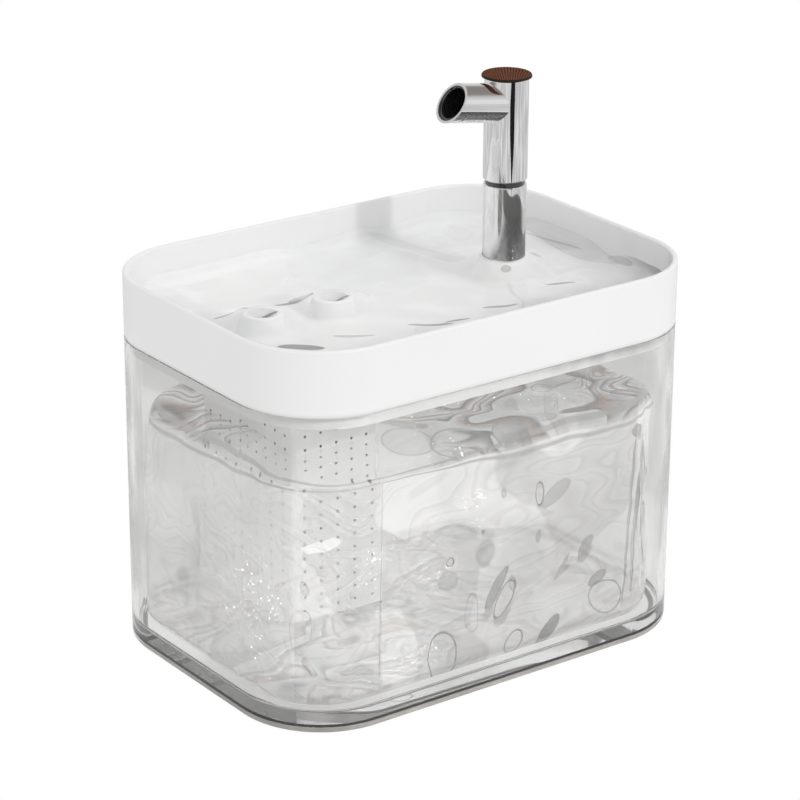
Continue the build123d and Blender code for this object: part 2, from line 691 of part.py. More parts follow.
SLIDER_FRONT = 44.4
SLIDER_BACK = 45.9
SLIDER_Y = 9.0           # middle of the slider, across the pump
SLIDER_WIDTH = 11.0
SLIDER_NOTCH = 4.2        # radius of the notch that clears the inlet holes
THUMB_Y = 13.0
THUMB_FRONT = 42.6

with BuildPart() as flow_slider:
    with BuildSketch(upright(SLIDER_FRONT, AXIS_Z)):
        with Locations((SLIDER_Y, 0)):
            Rectangle(SLIDER_WIDTH, 2 * SLIDER_HALF)
        with Locations((SLIDER_Y - SLIDER_WIDTH / 2, 0)):
            Circle(SLIDER_NOTCH, mode=Mode.SUBTRACT)
    extrude(amount=SLIDER_BACK - SLIDER_FRONT)
    # Thumb ridge, reached when the strainer is off.
    with BuildSketch(upright(THUMB_FRONT, AXIS_Z)):
        with Locations((THUMB_Y, 0)):
            Rectangle(2, SLIDER_HALF)
    extrude(amount=SLIDER_FRONT - THUMB_FRONT)
keep(flow_slider, "flow_slider", PUMP_PLACE)

GRILLE_WALL = 1.6
GRILLE_SLOT = 11.0
GRILLE_SLOT_WIDTH = 2.4

with BuildPart() as intake_grille:
    pump_slab(GRILLE_FRONT, COVER_FRONT, 0)
    pump_slab(GRILLE_FRONT + GRILLE_WALL, COVER_FRONT, GRILLE_WALL, Mode.SUBTRACT)
    fillet(intake_grille.edges().group_by(Axis.X)[0], 1.2)
    with BuildSketch(upright(GRILLE_FRONT, (PUMP_BASE + PUMP_TOP) / 2)):
        with GridLocations(5, 14, 6, 2):
            SlotOverall(GRILLE_SLOT, GRILLE_SLOT_WIDTH, rotation=90)
    extrude(amount=GRILLE_WALL, mode=Mode.SUBTRACT)
keep(intake_grille, "intake_grille", PUMP_PLACE)

SPONGE_BACK = 41.4
SPONGE_GAP = 0.2

with BuildPart() as pump_sponge:
    pump_slab(GRILLE_FRONT + GRILLE_WALL, SPONGE_BACK, GRILLE_WALL + SPONGE_GAP)
keep(pump_sponge, "pump_sponge", PUMP_PLACE)

IMPELLER_FRONT = 51.2
IMPELLER_BACK = 61.0
BLADE_BACK = 59.4
BLADE_THICK = 1.2
BLADE_COUNT = 6
IMPELLER_RADIUS = 11.0
HUB_RADIUS = 3.2
SLEEVE_BACK = 83.0
MAGNET_FRONT = 63.0
MAGNET_BACK = 82.0
MAGNET_RADIUS = 7.0

with BuildPart() as impeller:
    rod(BLADE_BACK, IMPELLER_BACK, IMPELLER_RADIUS)
    rod(IMPELLER_FRONT, SLEEVE_BACK, HUB_RADIUS)
    with BuildSketch(upright(IMPELLER_FRONT + 1, AXIS_Z)):
        with PolarLocations((IMPELLER_RADIUS + HUB_RADIUS) / 2 - 0.4, BLADE_COUNT):
            Rectangle(IMPELLER_RADIUS - HUB_RADIUS, BLADE_THICK)
    extrude(amount=BLADE_BACK - IMPELLER_FRONT - 1)
    rod(IMPELLER_FRONT, SLEEVE_BACK, SHAFT_RADIUS + 0.08, Mode.SUBTRACT)
keep(impeller, "impeller", PUMP_PLACE)

with BuildPart() as rotor_magnet:
    rod(MAGNET_FRONT, MAGNET_BACK, MAGNET_RADIUS)
    rod(MAGNET_FRONT, MAGNET_BACK, HUB_RADIUS, Mode.SUBTRACT)
keep(rotor_magnet, "rotor_magnet", PUMP_PLACE)

FRONT_BUSH_BACK = 50.6
REAR_BUSH_FRONT = 84.0
SHAFT_FRONT = 47.4
SHAFT_BACK = 87.4

with BuildPart() as rotor_shaft:
    rod(SHAFT_FRONT, SHAFT_BACK, SHAFT_RADIUS)
    chamfer(rotor_shaft.edges().filter_by(GeomType.CIRCLE), 0.2)
keep(rotor_shaft, "rotor_shaft", PUMP_PLACE)

with BuildPart() as front_bush:
    rod(COVER_FRONT + 0.6, FRONT_BUSH_BACK, BUSH_RADIUS)
    rod(SHAFT_FRONT, FRONT_BUSH_BACK, SHAFT_RADIUS, Mode.SUBTRACT)
keep(front_bush, "front_bush", PUMP_PLACE)

with BuildPart() as rear_bush:
    rod(REAR_BUSH_FRONT, WELL_BACK, WELL_RADIUS)
    rod(REAR_BUSH_FRONT, SHAFT_BACK, SHAFT_RADIUS, Mode.SUBTRACT)
keep(rear_bush, "rear_bush", PUMP_PLACE)

CORE_FRONT = 70.0
CORE_BACK = 86.0
LEG_INNER = 9.3
LEG_OUTER = 14.2
YOKE_BOTTOM = 18.0
YOKE_TOP = 22.0
LEG_TOP = 44.0
COIL_BUILD = 3.2          # thickness of the winding round the yoke
COIL_HALF = 8.8
core_length = CORE_BACK - CORE_FRONT
yoke_height = YOKE_TOP - YOKE_BOTTOM

with BuildPart() as stator_core:
    with BuildSketch(Plane.YZ.offset(CORE_FRONT)):
        with Locations((0, (YOKE_BOTTOM + LEG_TOP) / 2)):
            Rectangle(2 * LEG_OUTER, LEG_TOP - YOKE_BOTTOM)
        with Locations((0, (YOKE_TOP + LEG_TOP) / 2)):
            Rectangle(2 * LEG_INNER, LEG_TOP - YOKE_TOP, mode=Mode.SUBTRACT)
    extrude(amount=CORE_BACK - CORE_FRONT)
keep(stator_core, "stator_core", PUMP_PLACE)

with BuildPart() as stator_coil:
    with BuildSketch(Plane.XZ.offset(-COIL_HALF)):
        with Locations(((CORE_FRONT + CORE_BACK) / 2, (YOKE_BOTTOM + YOKE_TOP) / 2)):
            RectangleRounded(core_length + 2 * COIL_BUILD, yoke_height + 2 * COIL_BUILD, 2)
            Rectangle(core_length, yoke_height, mode=Mode.SUBTRACT)
    extrude(amount=2 * COIL_HALF)
keep(stator_coil, "stator_coil", PUMP_PLACE)

GLAND_Z = 43.0
GLAND_RADIUS = 4.0
GLAND_BACK = 102.0

with BuildPart() as pump_back_cover:
    pump_slab(BACK_COVER_FRONT, PUMP_BACK, CAVITY_INSET)
    rod(BACK_COVER_FRONT, PUMP_BACK, GLAND_RADIUS, Mode.SUBTRACT, GLAND_Z)
keep(pump_back_cover, "pump_back_cover", PUMP_PLACE)

with BuildPart() as cable_gland:
    rod(BACK_COVER_FRONT, GLAND_BACK, GLAND_RADIUS, Mode.ADD, GLAND_Z)
    rod(PUMP_BACK, PUMP_BACK + 2, GLAND_RADIUS + 1.4, Mode.ADD, GLAND_Z)
    rod(BACK_COVER_FRONT, GLAND_BACK, CABLE_HOLE, Mode.SUBTRACT, GLAND_Z)
keep(cable_gland, "cable_gland", PUMP_PLACE)
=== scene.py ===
# %% [markdown]
# # Pet water fountain
# The fountain is a clear tank of water with a white drinking tray on top. A chrome faucet stands
# on the tray, two drains lead the water back down, and a perforated filter box hangs under them.
# The solids come ready made as a fixed frame. This script gives every solid its finish, and adds
# what a solid can't show well: the water and its bubbles, the perforated box, the ribbed cap and
# the soft or loose filling.

from math import atan2, ceil, cos, exp, hypot, pi, radians, sin
from random import Random

import bmesh
import bpy
from mathutils import Matrix, Vector, noise


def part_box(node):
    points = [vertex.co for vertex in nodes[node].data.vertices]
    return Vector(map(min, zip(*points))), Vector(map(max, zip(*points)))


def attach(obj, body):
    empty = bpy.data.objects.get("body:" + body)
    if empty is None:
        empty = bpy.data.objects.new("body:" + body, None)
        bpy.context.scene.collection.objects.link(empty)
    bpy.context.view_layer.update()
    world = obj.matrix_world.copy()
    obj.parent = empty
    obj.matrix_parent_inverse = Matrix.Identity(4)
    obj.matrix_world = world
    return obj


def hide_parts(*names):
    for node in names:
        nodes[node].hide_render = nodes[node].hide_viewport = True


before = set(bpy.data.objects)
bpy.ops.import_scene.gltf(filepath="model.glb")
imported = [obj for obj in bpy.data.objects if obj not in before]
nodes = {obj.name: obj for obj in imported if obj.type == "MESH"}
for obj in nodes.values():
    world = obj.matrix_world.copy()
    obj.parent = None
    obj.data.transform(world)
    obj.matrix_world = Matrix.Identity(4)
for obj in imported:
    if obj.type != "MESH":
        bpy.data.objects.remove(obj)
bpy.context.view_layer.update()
scene = bpy.context.scene
MM = 0.001


def put_in_scene(name, data):
    """A new object with its data, linked to the scene."""
    thing = bpy.data.objects.new(name, data)
    scene.collection.objects.link(thing)
    return thing


# %% [markdown]
# The camera looks down on the front left corner with a long lens, so upright edges stay nearly
# parallel. It aims at the middle of the tank. A small vertical shift lowers the object in the
# picture without tipping the camera, which keeps the uprights upright.

# %% Camera
AZIMUTH = radians(-36.285)
ELEVATION = radians(21.888)
ROLL = radians(0.328)
DISTANCE = 1.4025
AIM = Vector((0.0, 0.0, 0.0942))
LENS_MM = 139.98
SENSOR_MM = 36.0
NEAREST = 0.05
PICTURE = 800
SHIFT_PIXELS = (-1.08, 30.94)

camera_data = bpy.data.cameras.new("camera")
camera_data.lens = LENS_MM
camera_data.sensor_width = SENSOR_MM
camera_data.shift_x, camera_data.shift_y = [shift / PICTURE for shift in SHIFT_PIXELS]
camera_data.clip_start = NEAREST
camera = put_in_scene("camera", camera_data)
level = cos(ELEVATION)
backwards = Vector((sin(AZIMUTH) * level, -cos(AZIMUTH) * level, sin(ELEVATION)))
camera.location = AIM + backwards * DISTANCE
turn = (-backwards).to_track_quat("-Z", "Y").to_matrix().to_4x4() @ Matrix.Rotation(ROLL, 4, "Z")
camera.rotation_mode = "QUATERNION"
camera.rotation_quaternion = turn.to_quaternion()
scene.camera = camera
print("camera", round(DISTANCE, 3), "m away")

# %% [markdown]
# The room and every finish are made of shader nodes. A few helpers place a node, set or link its
# inputs and hand back its output, so that each finish further down reads like a recipe.

# %% Node helpers


def rgba(tone):
    """A tone, which is a grey value or (r, g, b), as a full colour."""
    return (tone, tone, tone, 1) if isinstance(tone, float) else (*tone[:3], 1)


def feed(node, inputs=(), **named):
    """Give a node its inputs: an output socket is linked, anything else is set as a value.

    In a name, Base_Color stands for the input Base Color.
    """
    named = {label.replace("_", " "): value for label, value in named.items()}
    for label, value in {**dict(inputs), **named}.items():
        socket = node.inputs[label]
        if isinstance(value, bpy.types.NodeSocket):
            node.id_data.links.new(value, socket)
        else:
            socket.default_value = rgba(value) if socket.type == "RGBA" else value


def add_node(kind, inputs=(), tree=None, **settings):
    """A shader node with its settings and inputs, in a given tree or in that of its inputs."""
    inputs = dict(inputs)
    if tree is None:
        tree = next(v.id_data for v in inputs.values() if isinstance(v, bpy.types.NodeSocket))
    node = tree.nodes.new("ShaderNode" + kind)
    for label, value in settings.items():
        setattr(node, label, value)
    feed(node, inputs)
    return node


def math_node(operation, *values):
    """A Math node; each value is a number or an output socket."""
    return add_node("Math", enumerate(values), operation=operation).outputs[0]


def times(product, *others):
    """All the values multiplied."""
    for other in others:
        product = math_node("MULTIPLY", product, other)
    return product


def mix_colour(factor, first, second, blend="MIX"):
    """A colour Mix node; each colour is a tone or a socket."""
    inputs = {0: factor, 6: first, 7: second}
    return add_node("Mix", inputs, data_type="RGBA", blend_type=blend).outputs[2]


def ramp_node(value, stops, interpolation="EASE"):
    """A Color Ramp with its stops given as (place, tone)."""
    node = add_node("ValToRGB", {"Fac": value})
    ramp = node.color_ramp
    ramp.interpolation = interpolation
    ramp.elements[0].position, ramp.elements[1].position = stops[0][0], stops[-1][0]
    for place, _ in stops[1:-1]:
        ramp.elements.new(place)
    for element, (_, tone) in zip(ramp.elements, stops):
        element.color = rgba(tone)
    return node.outputs["Color"]


def place_in(tree):
    """The place of each shaded point."""
    return add_node("TexCoord", tree=tree).outputs["Object"]


def upward(tree):
    """1 where a face looks up, 0 where it stands upright and -1 where it looks down."""
    normal = add_node("NewGeometry", tree=tree).outputs["Normal"]
    return add_node("SeparateXYZ", {0: normal}).outputs["Z"]


def noise_node(vector, scale, detail=3.0, rough=0.5):
    """A Noise Texture; the scale is a number or a socket."""
    inputs = {"Vector": vector, "Scale": scale, "Detail": detail, "Roughness": rough}
    return add_node("TexNoise", inputs).outputs["Fac"]


def new_piece(name, points, faces, *looks):
    """A smooth piece made of points and faces."""
    mesh = bpy.data.meshes.new(name)
    mesh.from_pydata([tuple(point) for point in points], [], faces)
    mesh.validate()
    mesh.update()
    for look in looks:
        mesh.materials.append(look)
    for face in mesh.polygons:
        face.use_smooth = True
    return put_in_scene(name, mesh)


# %% [markdown]
# Clear and polished things are drawn by what surrounds them, so the room does three jobs. Seen
# directly it is plain white. On matt surfaces it is one even soft light. In glass, water and
# chrome it shows a pale horizon and a darker, slightly warm ceiling, which is what makes every
# ripple readable. The Light Path node of the world tells the three kinds of ray apart.

# %% Room
scene.view_settings.view_transform = "Standard"
scene.view_settings.look = "None"
scene.cycles.max_bounces = 24
scene.cycles.transmission_bounces = 24
scene.cycles.glossy_bounces = 8
scene.cycles.transparent_max_bounces = 24

SEEN_WHITE = 1.0
SOFT_LIGHT = 0.84
CEILING = ((0.0, 0.80), (0.22, 0.82), (0.42, (0.62, 0.615, 0.61)), (0.62, (0.27, 0.25, 0.235)),
           (1.0, (0.14, 0.12, 0.105)))


def room_colour(shown):
    """What a ray sees: white to the camera, soft light to matt surfaces, else the colour shown."""
    path = add_node("LightPath", tree=shown.id_data).outputs
    matt = math_node("MINIMUM", path["Diffuse Depth"], 1.0)
    soft = mix_colour(matt, shown, SOFT_LIGHT)
    return mix_colour(path["Is Camera Ray"], soft, SEEN_WHITE)


world = bpy.data.worlds.new("studio")
scene.world = world
world.use_nodes = True
tree = world.node_tree
tree.nodes.clear()
around = add_node("TexCoord", tree=tree).outputs["Generated"]
height = add_node("SeparateXYZ", {0: around}).outputs["Z"]
sky_light = add_node("Background", {"Color": room_colour(ramp_node(height, CEILING))})
add_node("OutputWorld", {"Surface": sky_light.outputs["Background"]})
print("room set, soft light", SOFT_LIGHT)

# %% [markdown]
# The floor is a plain pale plane that glows instead of being lit, so the cut-out look has no cast
# shadow. What is seen of it through glass is a little darker, with broad faint patches of painted
# shade, like those on a paper sweep that falls away behind the object.

# %% Floor
FLOOR_HALF = 8.0
FLOOR_DROP = 0.2 * MM
PATCH_SCALE = 9.0
FLOOR_SHADE_PATCHES = ((0.40, 0.56), (0.50, 0.62), (0.56, 0.76), (0.7, 0.82))


def glow_material(name):
    """A material that only glows, and its Emission node."""
    paint = bpy.data.materials.new(name)
    paint.use_nodes = True
    paint.node_tree.nodes.clear()
    glow = add_node("Emission", tree=paint.node_tree)
    add_node("OutputMaterial", {"Surface": glow.outputs[0]})
    return paint, glow


floor_paint, glow = glow_material("pale_floor")
# Painted shade: darker patches on the floor that only glass, water and metal see.
patches = noise_node(place_in(floor_paint.node_tree), PATCH_SCALE, 1.0)
feed(glow, Color=room_colour(ramp_node(patches, FLOOR_SHADE_PATCHES)))
corners = [(x * FLOOR_HALF, y * FLOOR_HALF, 0) for x, y in ((-1, -1), (1, -1), (1, 1), (-1, 1))]
floor = new_piece("floor", corners, [(0, 1, 2, 3)], floor_paint)
floor.location.z = -FLOOR_DROP
print("floor", 2 * FLOOR_HALF, "m wide")

# %% [markdown]
# One lamp far away in front gives the firm shadow edges: the tray's flange on the filter box and
# the faucet on the tray's far wall. Its small angle keeps those edges just soft. A dark card that
# only polished metal can see puts a thin black line down the chrome.

# %% Lamp and dark card
SUN_WAY = Vector((-0.2, 1.0, -0.58))
SUN_PLACE = (0.3, -1.5, 0.9)
SUN_ENERGY = 0.6
SUN_ANGLE = radians(2.5)
CARD_X = 0.015
CARD_Y = -0.55
CARD_SHADE = 0.015
# Heights on the card and half its width there: a broad foot, a thin neck and a wide blade.
BLADE = ((0.0, 0.08), (0.008, 0.08), (0.012, 0.003), (0.027, 0.003), (0.062, 0.1), (0.5, 0.125))

sun_data = bpy.data.lights.new("key_sun", "SUN")
sun_data.energy = SUN_ENERGY
sun_data.angle = SUN_ANGLE
sun = put_in_scene("key_sun", sun_data)
sun.location = SUN_PLACE
sun.rotation_mode = "QUATERNION"
sun.rotation_quaternion = SUN_WAY.to_track_quat("-Z", "Y")

card_paint, glow = glow_material("front_card")
feed(glow, Color=CARD_SHADE)
corners = [(CARD_X + half, CARD_Y, z) for z, half in BLADE]
corners += [(CARD_X - half, CARD_Y, z) for z, half in reversed(BLADE)]
card = new_piece("front_card", corners, [tuple(range(len(corners)))], card_paint)
card.visible_camera = card.visible_diffuse = False
card.visible_transmission = card.visible_shadow = False
print("lamp energy", SUN_ENERGY, "card corners", len(corners))

# %% [markdown]
# Several finishes share the same small faults: the fine grain of a moulding, a slight wear along
# edges, a film of dust or lime on faces that look up, and fine scratches. Each is a node group,
# built once, with named inputs, so that a material only has to give its own values.

# %% Shared shader groups
FLOAT, COLOUR, VECTOR = "NodeSocketFloat", "NodeSocketColor", "NodeSocketVector"
GRAIN_DEPTH = 0.1 * MM
SCRATCH_DEPTH = 0.05 * MM
WEAR_GAIN = 8.0


def shader_group(name, inputs, outputs):
    """An empty shader node group: inputs by their first values and outputs by their kinds."""
    group = bpy.data.node_groups.new(name, "ShaderNodeTree")
    for label, value in inputs.items():
        kind = FLOAT if isinstance(value, float) else COLOUR if len(value) == 4 else VECTOR
        socket = group.interface.new_socket(name=label, in_out="INPUT", socket_type=kind)
        socket.default_value = value
    for label, kind in outputs.items():
        group.interface.new_socket(name=label, in_out="OUTPUT", socket_type=kind)
    asked = group.nodes.new("NodeGroupInput").outputs
    return group, asked, group.nodes.new("NodeGroupOutput")


def roughness_from(pattern, asked):
    """A pattern stretched to the roughness asked for."""
    spread = math_node("SUBTRACT", asked["Rough High"], asked["Rough Low"])
    return math_node("MULTIPLY_ADD", pattern, spread, asked["Rough Low"])


def bumped(height, strength, depth):
    """The normal of a bumpy surface."""
    inputs = {"Height": height, "Strength": strength, "Distance": depth}
    return add_node("Bump", inputs).outputs["Normal"]


def mapped(vector, scale, turn=(0, 0, 0)):
    """The vector turned and scaled."""
    inputs = {"Vector": vector, "Rotation": turn, "Scale": scale}
    return add_node("Mapping", inputs).outputs[0]


moulding, asked, given = shader_group(
    "moulded_grain",
    {"Color": (0.8, 0.8, 0.8, 1), "Shade": (0.7, 0.7, 0.7, 1), "Grain Scale": 1500.0,
     "Cloud Scale": 30.0, "Rough Low": 0.3, "Rough High": 0.4, "Bump": 0.05},
    {"Color": COLOUR, "Roughness": FLOAT, "Normal": VECTOR})
where = place_in(moulding)
cloud = noise_node(where, asked["Cloud Scale"], 4.0)
grain = noise_node(where, asked["Grain Scale"], 2.0)
feed(given, Color=mix_colour(cloud, asked["Color"], asked["Shade"]),
     Roughness=roughness_from(cloud, asked),
     Normal=bumped(grain, asked["Bump"], GRAIN_DEPTH))

edges, asked, given = shader_group(
    "edge_wear", {"Radius": 0.0008, "Amount": 0.5, "Break Up": 200.0}, {"Mask": FLOAT})
rounded = add_node("Bevel", {"Radius": asked["Radius"]}, samples=4).outputs["Normal"]
facing = add_node("NewGeometry", tree=edges).outputs["Normal"]
bend = add_node("VectorMath", {0: rounded, 1: facing}, operation="DOT_PRODUCT")
turned = math_node("SUBTRACT", 1.0, bend.outputs["Value"])
patchy = noise_node(place_in(edges), asked["Break Up"])
worn = times(turned, WEAR_GAIN, patchy, asked["Amount"])
feed(given, Mask=add_node("Clamp", {"Value": worn}).outputs[0])

film, asked, given = shader_group(
    "settled_film", {"Amount": 0.3, "Spot Scale": 120.0}, {"Mask": FLOAT})
above = math_node("MAXIMUM", upward(film), 0.0)
spots = noise_node(place_in(film), asked["Spot Scale"], 5.0)
feed(given, Mask=times(above, spots, asked["Amount"]))

scratches, asked, given = shader_group(
    "fine_scratches", {"Rough Low": 0.03, "Rough High": 0.09, "Scale": 60.0, "Bump": 0.02},
    {"Roughness": FLOAT, "Normal": VECTOR})
stretched = mapped(place_in(scratches), (1.0, 1.0, 14.0))
fine = noise_node(stretched, asked["Scale"], 6.0, 0.65)
feed(given, Roughness=roughness_from(fine, asked),
     Normal=bumped(fine, asked["Bump"], SCRATCH_DEPTH))
print("finish groups:", [group.name for group in bpy.data.node_groups])

# %% [markdown]
# Moving water is drawn by what it bends and mirrors: broad light and dark patches, ovals where a
# bulge acts as a lens, and fine swirls on its top. Tracing real waves would need a far larger room
# and a liquid simulation, so two more groups paint these forms into the colour of the rippled mesh
# as painted light, shade and reflection: one oval in a chosen place, and the loose pattern all over.

# %% Water groups
OVAL_WARP_SCALE = 120.0
OVAL_RIM_SOFTNESS = 0.06
FLOW_SCALE = 30.0
SWIRL_WARP_SCALE = 38.0
PATCH_EDGE = (0.495, 0.515)
OVAL_LEAN = (0.0, radians(35), radians(25))
OVAL_STRETCH = (1.5, 1.2, 0.7)
SWIRL_STRETCH = (0.8, 1.1, 2.2)
OVAL_SIZES = (0.28, 0.12)
TOP_EDGE = (0.45, 0.75)
WATERLINE_BANDS = (((0.14, 0.24), (0.30, 0.40)), ((0.72, 0.80), (0.90, 0.96)))
# Strength of the painted shade in the lens ovals' discs and rims.
DISC_TONE = 0.4
RIM_TONE = 0.7
# Tones of the swirls, which are painted reflections, some of them warm.
SWIRLS = ((0.28, 0.84), (0.345, 0.66), (0.36, 0.30), (0.37, 0.92), (0.41, 0.74), (0.43, 0.96),
          (0.437, 0.22), (0.45, 0.55), (0.47, 0.84), (0.492, 0.95), (0.50, (0.50, 0.34, 0.26)),
          (0.512, (0.66, 0.58, 0.53)), (0.52, 0.95), (0.55, 0.60), (0.562, 0.20), (0.568, 0.97),
          (0.60, 0.72), (0.625, (0.60, 0.46, 0.38)), (0.64, 0.30), (0.65, 0.96), (0.72, 0.82))


def warped(vector, scale, amount, detail):
    """The vector pushed about by a soft noise."""
    push = add_node("TexNoise", {"Vector": vector, "Scale": scale, "Detail": detail})
    inputs = {0: push.outputs["Color"], "Scale": amount}
    scaled = add_node("VectorMath", inputs, operation="SCALE").outputs[0]
    return add_node("VectorMath", {0: vector, 1: scaled}, operation="ADD").outputs[0]


def between(value, low, high):
    """0 at low and 1 at high, smooth between them."""
    inputs = {"Value": value, "From Min": low, "From Max": high}
    return add_node("MapRange", inputs, interpolation_type="SMOOTHSTEP").outputs[0]


oval, asked, given = shader_group(
    "oval_mark",
    {"Middle": (0, 0, 0), "Turn": (0, 0, 0), "Half Size": (0.01, 0.01, 0.01), "Warp": 0.002,
     "Rim": 0.1, "Soft": 0.02},
    {"Inside": FLOAT, "Edge": FLOAT})
inputs = {"Vector": warped(place_in(oval), OVAL_WARP_SCALE, asked["Warp"], 1.0),
          "Location": asked["Middle"], "Rotation": asked["Turn"], "Scale": asked["Half Size"]}
fit = add_node("Mapping", inputs, vector_type="TEXTURE").outputs[0]
away = add_node("VectorMath", {0: fit}, operation="LENGTH").outputs["Value"]
soft_in = math_node("SUBTRACT", 1.0, asked["Soft"])
within = between(away, math_node("ADD", 1.0, asked["Soft"]), soft_in)
core_edge = math_node("SUBTRACT", 1.0, asked["Rim"])
core = between(away, core_edge, math_node("SUBTRACT", core_edge, OVAL_RIM_SOFTNESS))
feed(given, Inside=within, Edge=math_node("SUBTRACT", within, core))

rippled, asked, given = shader_group(
    "rippled_water",
    {"Light": (0.9, 0.9, 0.9, 1), "Dark": (0.7, 0.7, 0.7, 1), "Line": (0.4, 0.4, 0.4, 1),
     "Patch Scale": 17.0, "Oval Scale": 42.0, "Oval Share": 0.4, "Swirl Scale": 20.0,
     "Warp": 0.018},
    {"Sides": COLOUR, "Swirls": COLOUR, "Upper": FLOAT, "Waterline": FLOAT})
# Painted light and shade: broad patches, dark lens ovals with rims, and swirls of reflection.
flowing = warped(place_in(rippled), FLOW_SCALE, asked["Warp"], 1.0)
patch = noise_node(flowing, asked["Patch Scale"], 0.5)
sides = mix_colour(between(patch, *PATCH_EDGE), asked["Dark"], asked["Light"])
leaning = mapped(flowing, OVAL_STRETCH, OVAL_LEAN)
cells = add_node("TexVoronoi", {"Vector": leaning, "Scale": asked["Oval Scale"]}).outputs
kinds = add_node("SeparateColor", {0: cells["Color"]}).outputs
size = math_node("MULTIPLY_ADD", kinds["Red"], *OVAL_SIZES)
spare = math_node("SUBTRACT", size, cells["Distance"])
inside, core = between(spare, 0.0, 0.02), between(spare, 0.03, 0.05)
chosen = math_node("LESS_THAN", kinds["Green"], asked["Oval Share"])
filled = math_node("GREATER_THAN", kinds["Blue"], 0.5)
disc = times(inside, chosen, filled, DISC_TONE)
rim = times(math_node("SUBTRACT", inside, core), chosen, RIM_TONE)
for mask in (disc, rim):
    sides = mix_colour(mask, sides, asked["Line"])
flat = mapped(flowing, SWIRL_STRETCH)
turning = warped(flat, SWIRL_WARP_SCALE, asked["Warp"], 0.5)
swirls = noise_node(turning, asked["Swirl Scale"], 0.8)
# The waterline, a painted dark line, is drawn where the face bends from the side to the top, in two
# thin bands.
rise = upward(rippled)
bands = [math_node("SUBTRACT", between(rise, *start), between(rise, *end))
         for start, end in WATERLINE_BANDS]
feed(given, Sides=sides, Swirls=ramp_node(swirls, SWIRLS, "LINEAR"),
     Upper=between(rise, *TOP_EDGE), Waterline=math_node("MAXIMUM", *bands))
print("shader groups:", [group.name for group in bpy.data.node_groups])

# %% [markdown]
# A material here is a Principled shader fed by those groups. A plain value, such as a metal's
# Metallic of 1 or a glass's IOR, goes straight on the shader's own socket.

# %% Material helpers
SHADER = "Principled BSDF"
WEAR_AMOUNT = 0.6
LIME_TONE = (0.80, 0.80, 0.79)


def finish_material(name, **sockets):
    """A material with one Principled shader, and plain values on its sockets."""
    material = bpy.data.materials.new(name)
    material.use_nodes = True
    tree = material.node_tree
    feed(tree.nodes[SHADER], **sockets)
    return material, tree, tree.nodes[SHADER]


def use_group(tree, group, **values):
    """The outputs of a shader group placed in a material, with its own values."""
    node = add_node("Group", tree=tree, node_tree=group)
    feed(node, **values)
    return node.outputs


def moulded(name, colour, shade, rough, grain, bump, wear=None, lime=0.0, cloud=30.0, **sockets):
    """Plastic or rubber from a mould: cloudy colour, fine grain, lighter rubbed edges, lime."""
    material, tree, shader = finish_material(name, **sockets)
    skin = use_group(tree, moulding, Color=colour, Shade=shade, Grain_Scale=grain,
                     Cloud_Scale=cloud, Rough_Low=rough[0], Rough_High=rough[1], Bump=bump)
    result = skin["Color"]
    if wear is not None:
        result = mix_colour(use_group(tree, edges, Amount=WEAR_AMOUNT)["Mask"], result, wear)
    if lime > 0:
        result = mix_colour(use_group(tree, film, Amount=lime)["Mask"], result, LIME_TONE)
    feed(shader, Base_Color=result, Roughness=skin["Roughness"], Normal=skin["Normal"])
    return material


def see_through(name, colour, ior, veil, **sockets):
    """Glass or water; the veil is its share of matt skin.

    Lamps shine through it, so that what stands inside is lit.
    """
    material, tree, shader = finish_material(
        name, Base_Color=colour, IOR=ior, Roughness=0.0, Transmission_Weight=1.0 - veil, **sockets)
    shadow = add_node("LightPath", tree=tree).outputs["Is Shadow Ray"]
    clear_tint = [0.5 + 0.5 * part for part in rgba(colour)]
    clear = add_node("BsdfTransparent", {"Color": clear_tint}, tree)
    inputs = {0: shadow, 1: shader.outputs["BSDF"], 2: clear.outputs["BSDF"]}
    mixer = add_node("MixShader", inputs)
    feed(tree.nodes["Material Output"], Surface=mixer.outputs["Shader"])
    return material


def polished(name, colour, low, high):
    """Bright metal with fine scratches."""
    material, tree, shader = finish_material(name, Base_Color=colour, Metallic=1.0)
    marks = use_group(tree, scratches, Rough_Low=low, Rough_High=high)
    feed(shader, Roughness=marks["Roughness"], Normal=marks["Normal"])
    return material


# %% [markdown]
# The few large ovals and streaks that make this water what it is stand in chosen places. They are
# painted shade and reflection: lenses and streaks in the tank's water, and on the tray's water the
# faucet's shadow and the shaded mouths of the drains. They could be painted on an image, but a short
# list of ovals stays sharp at any size and needs no file. A mark is its middle in mm, its half size
# in mm, its turn in degrees, its fill and edge.

# %% Marks in the water
FRONT_Y = -72.0
MARK_DEPTH = 9.0
FRONT_STRENGTH = 1.5
# Tone of the painted shade in every mark.
PAINTED_SHADE_TONE = (0.15, 0.15, 0.145)
MARK_RIM_MM = 0.45
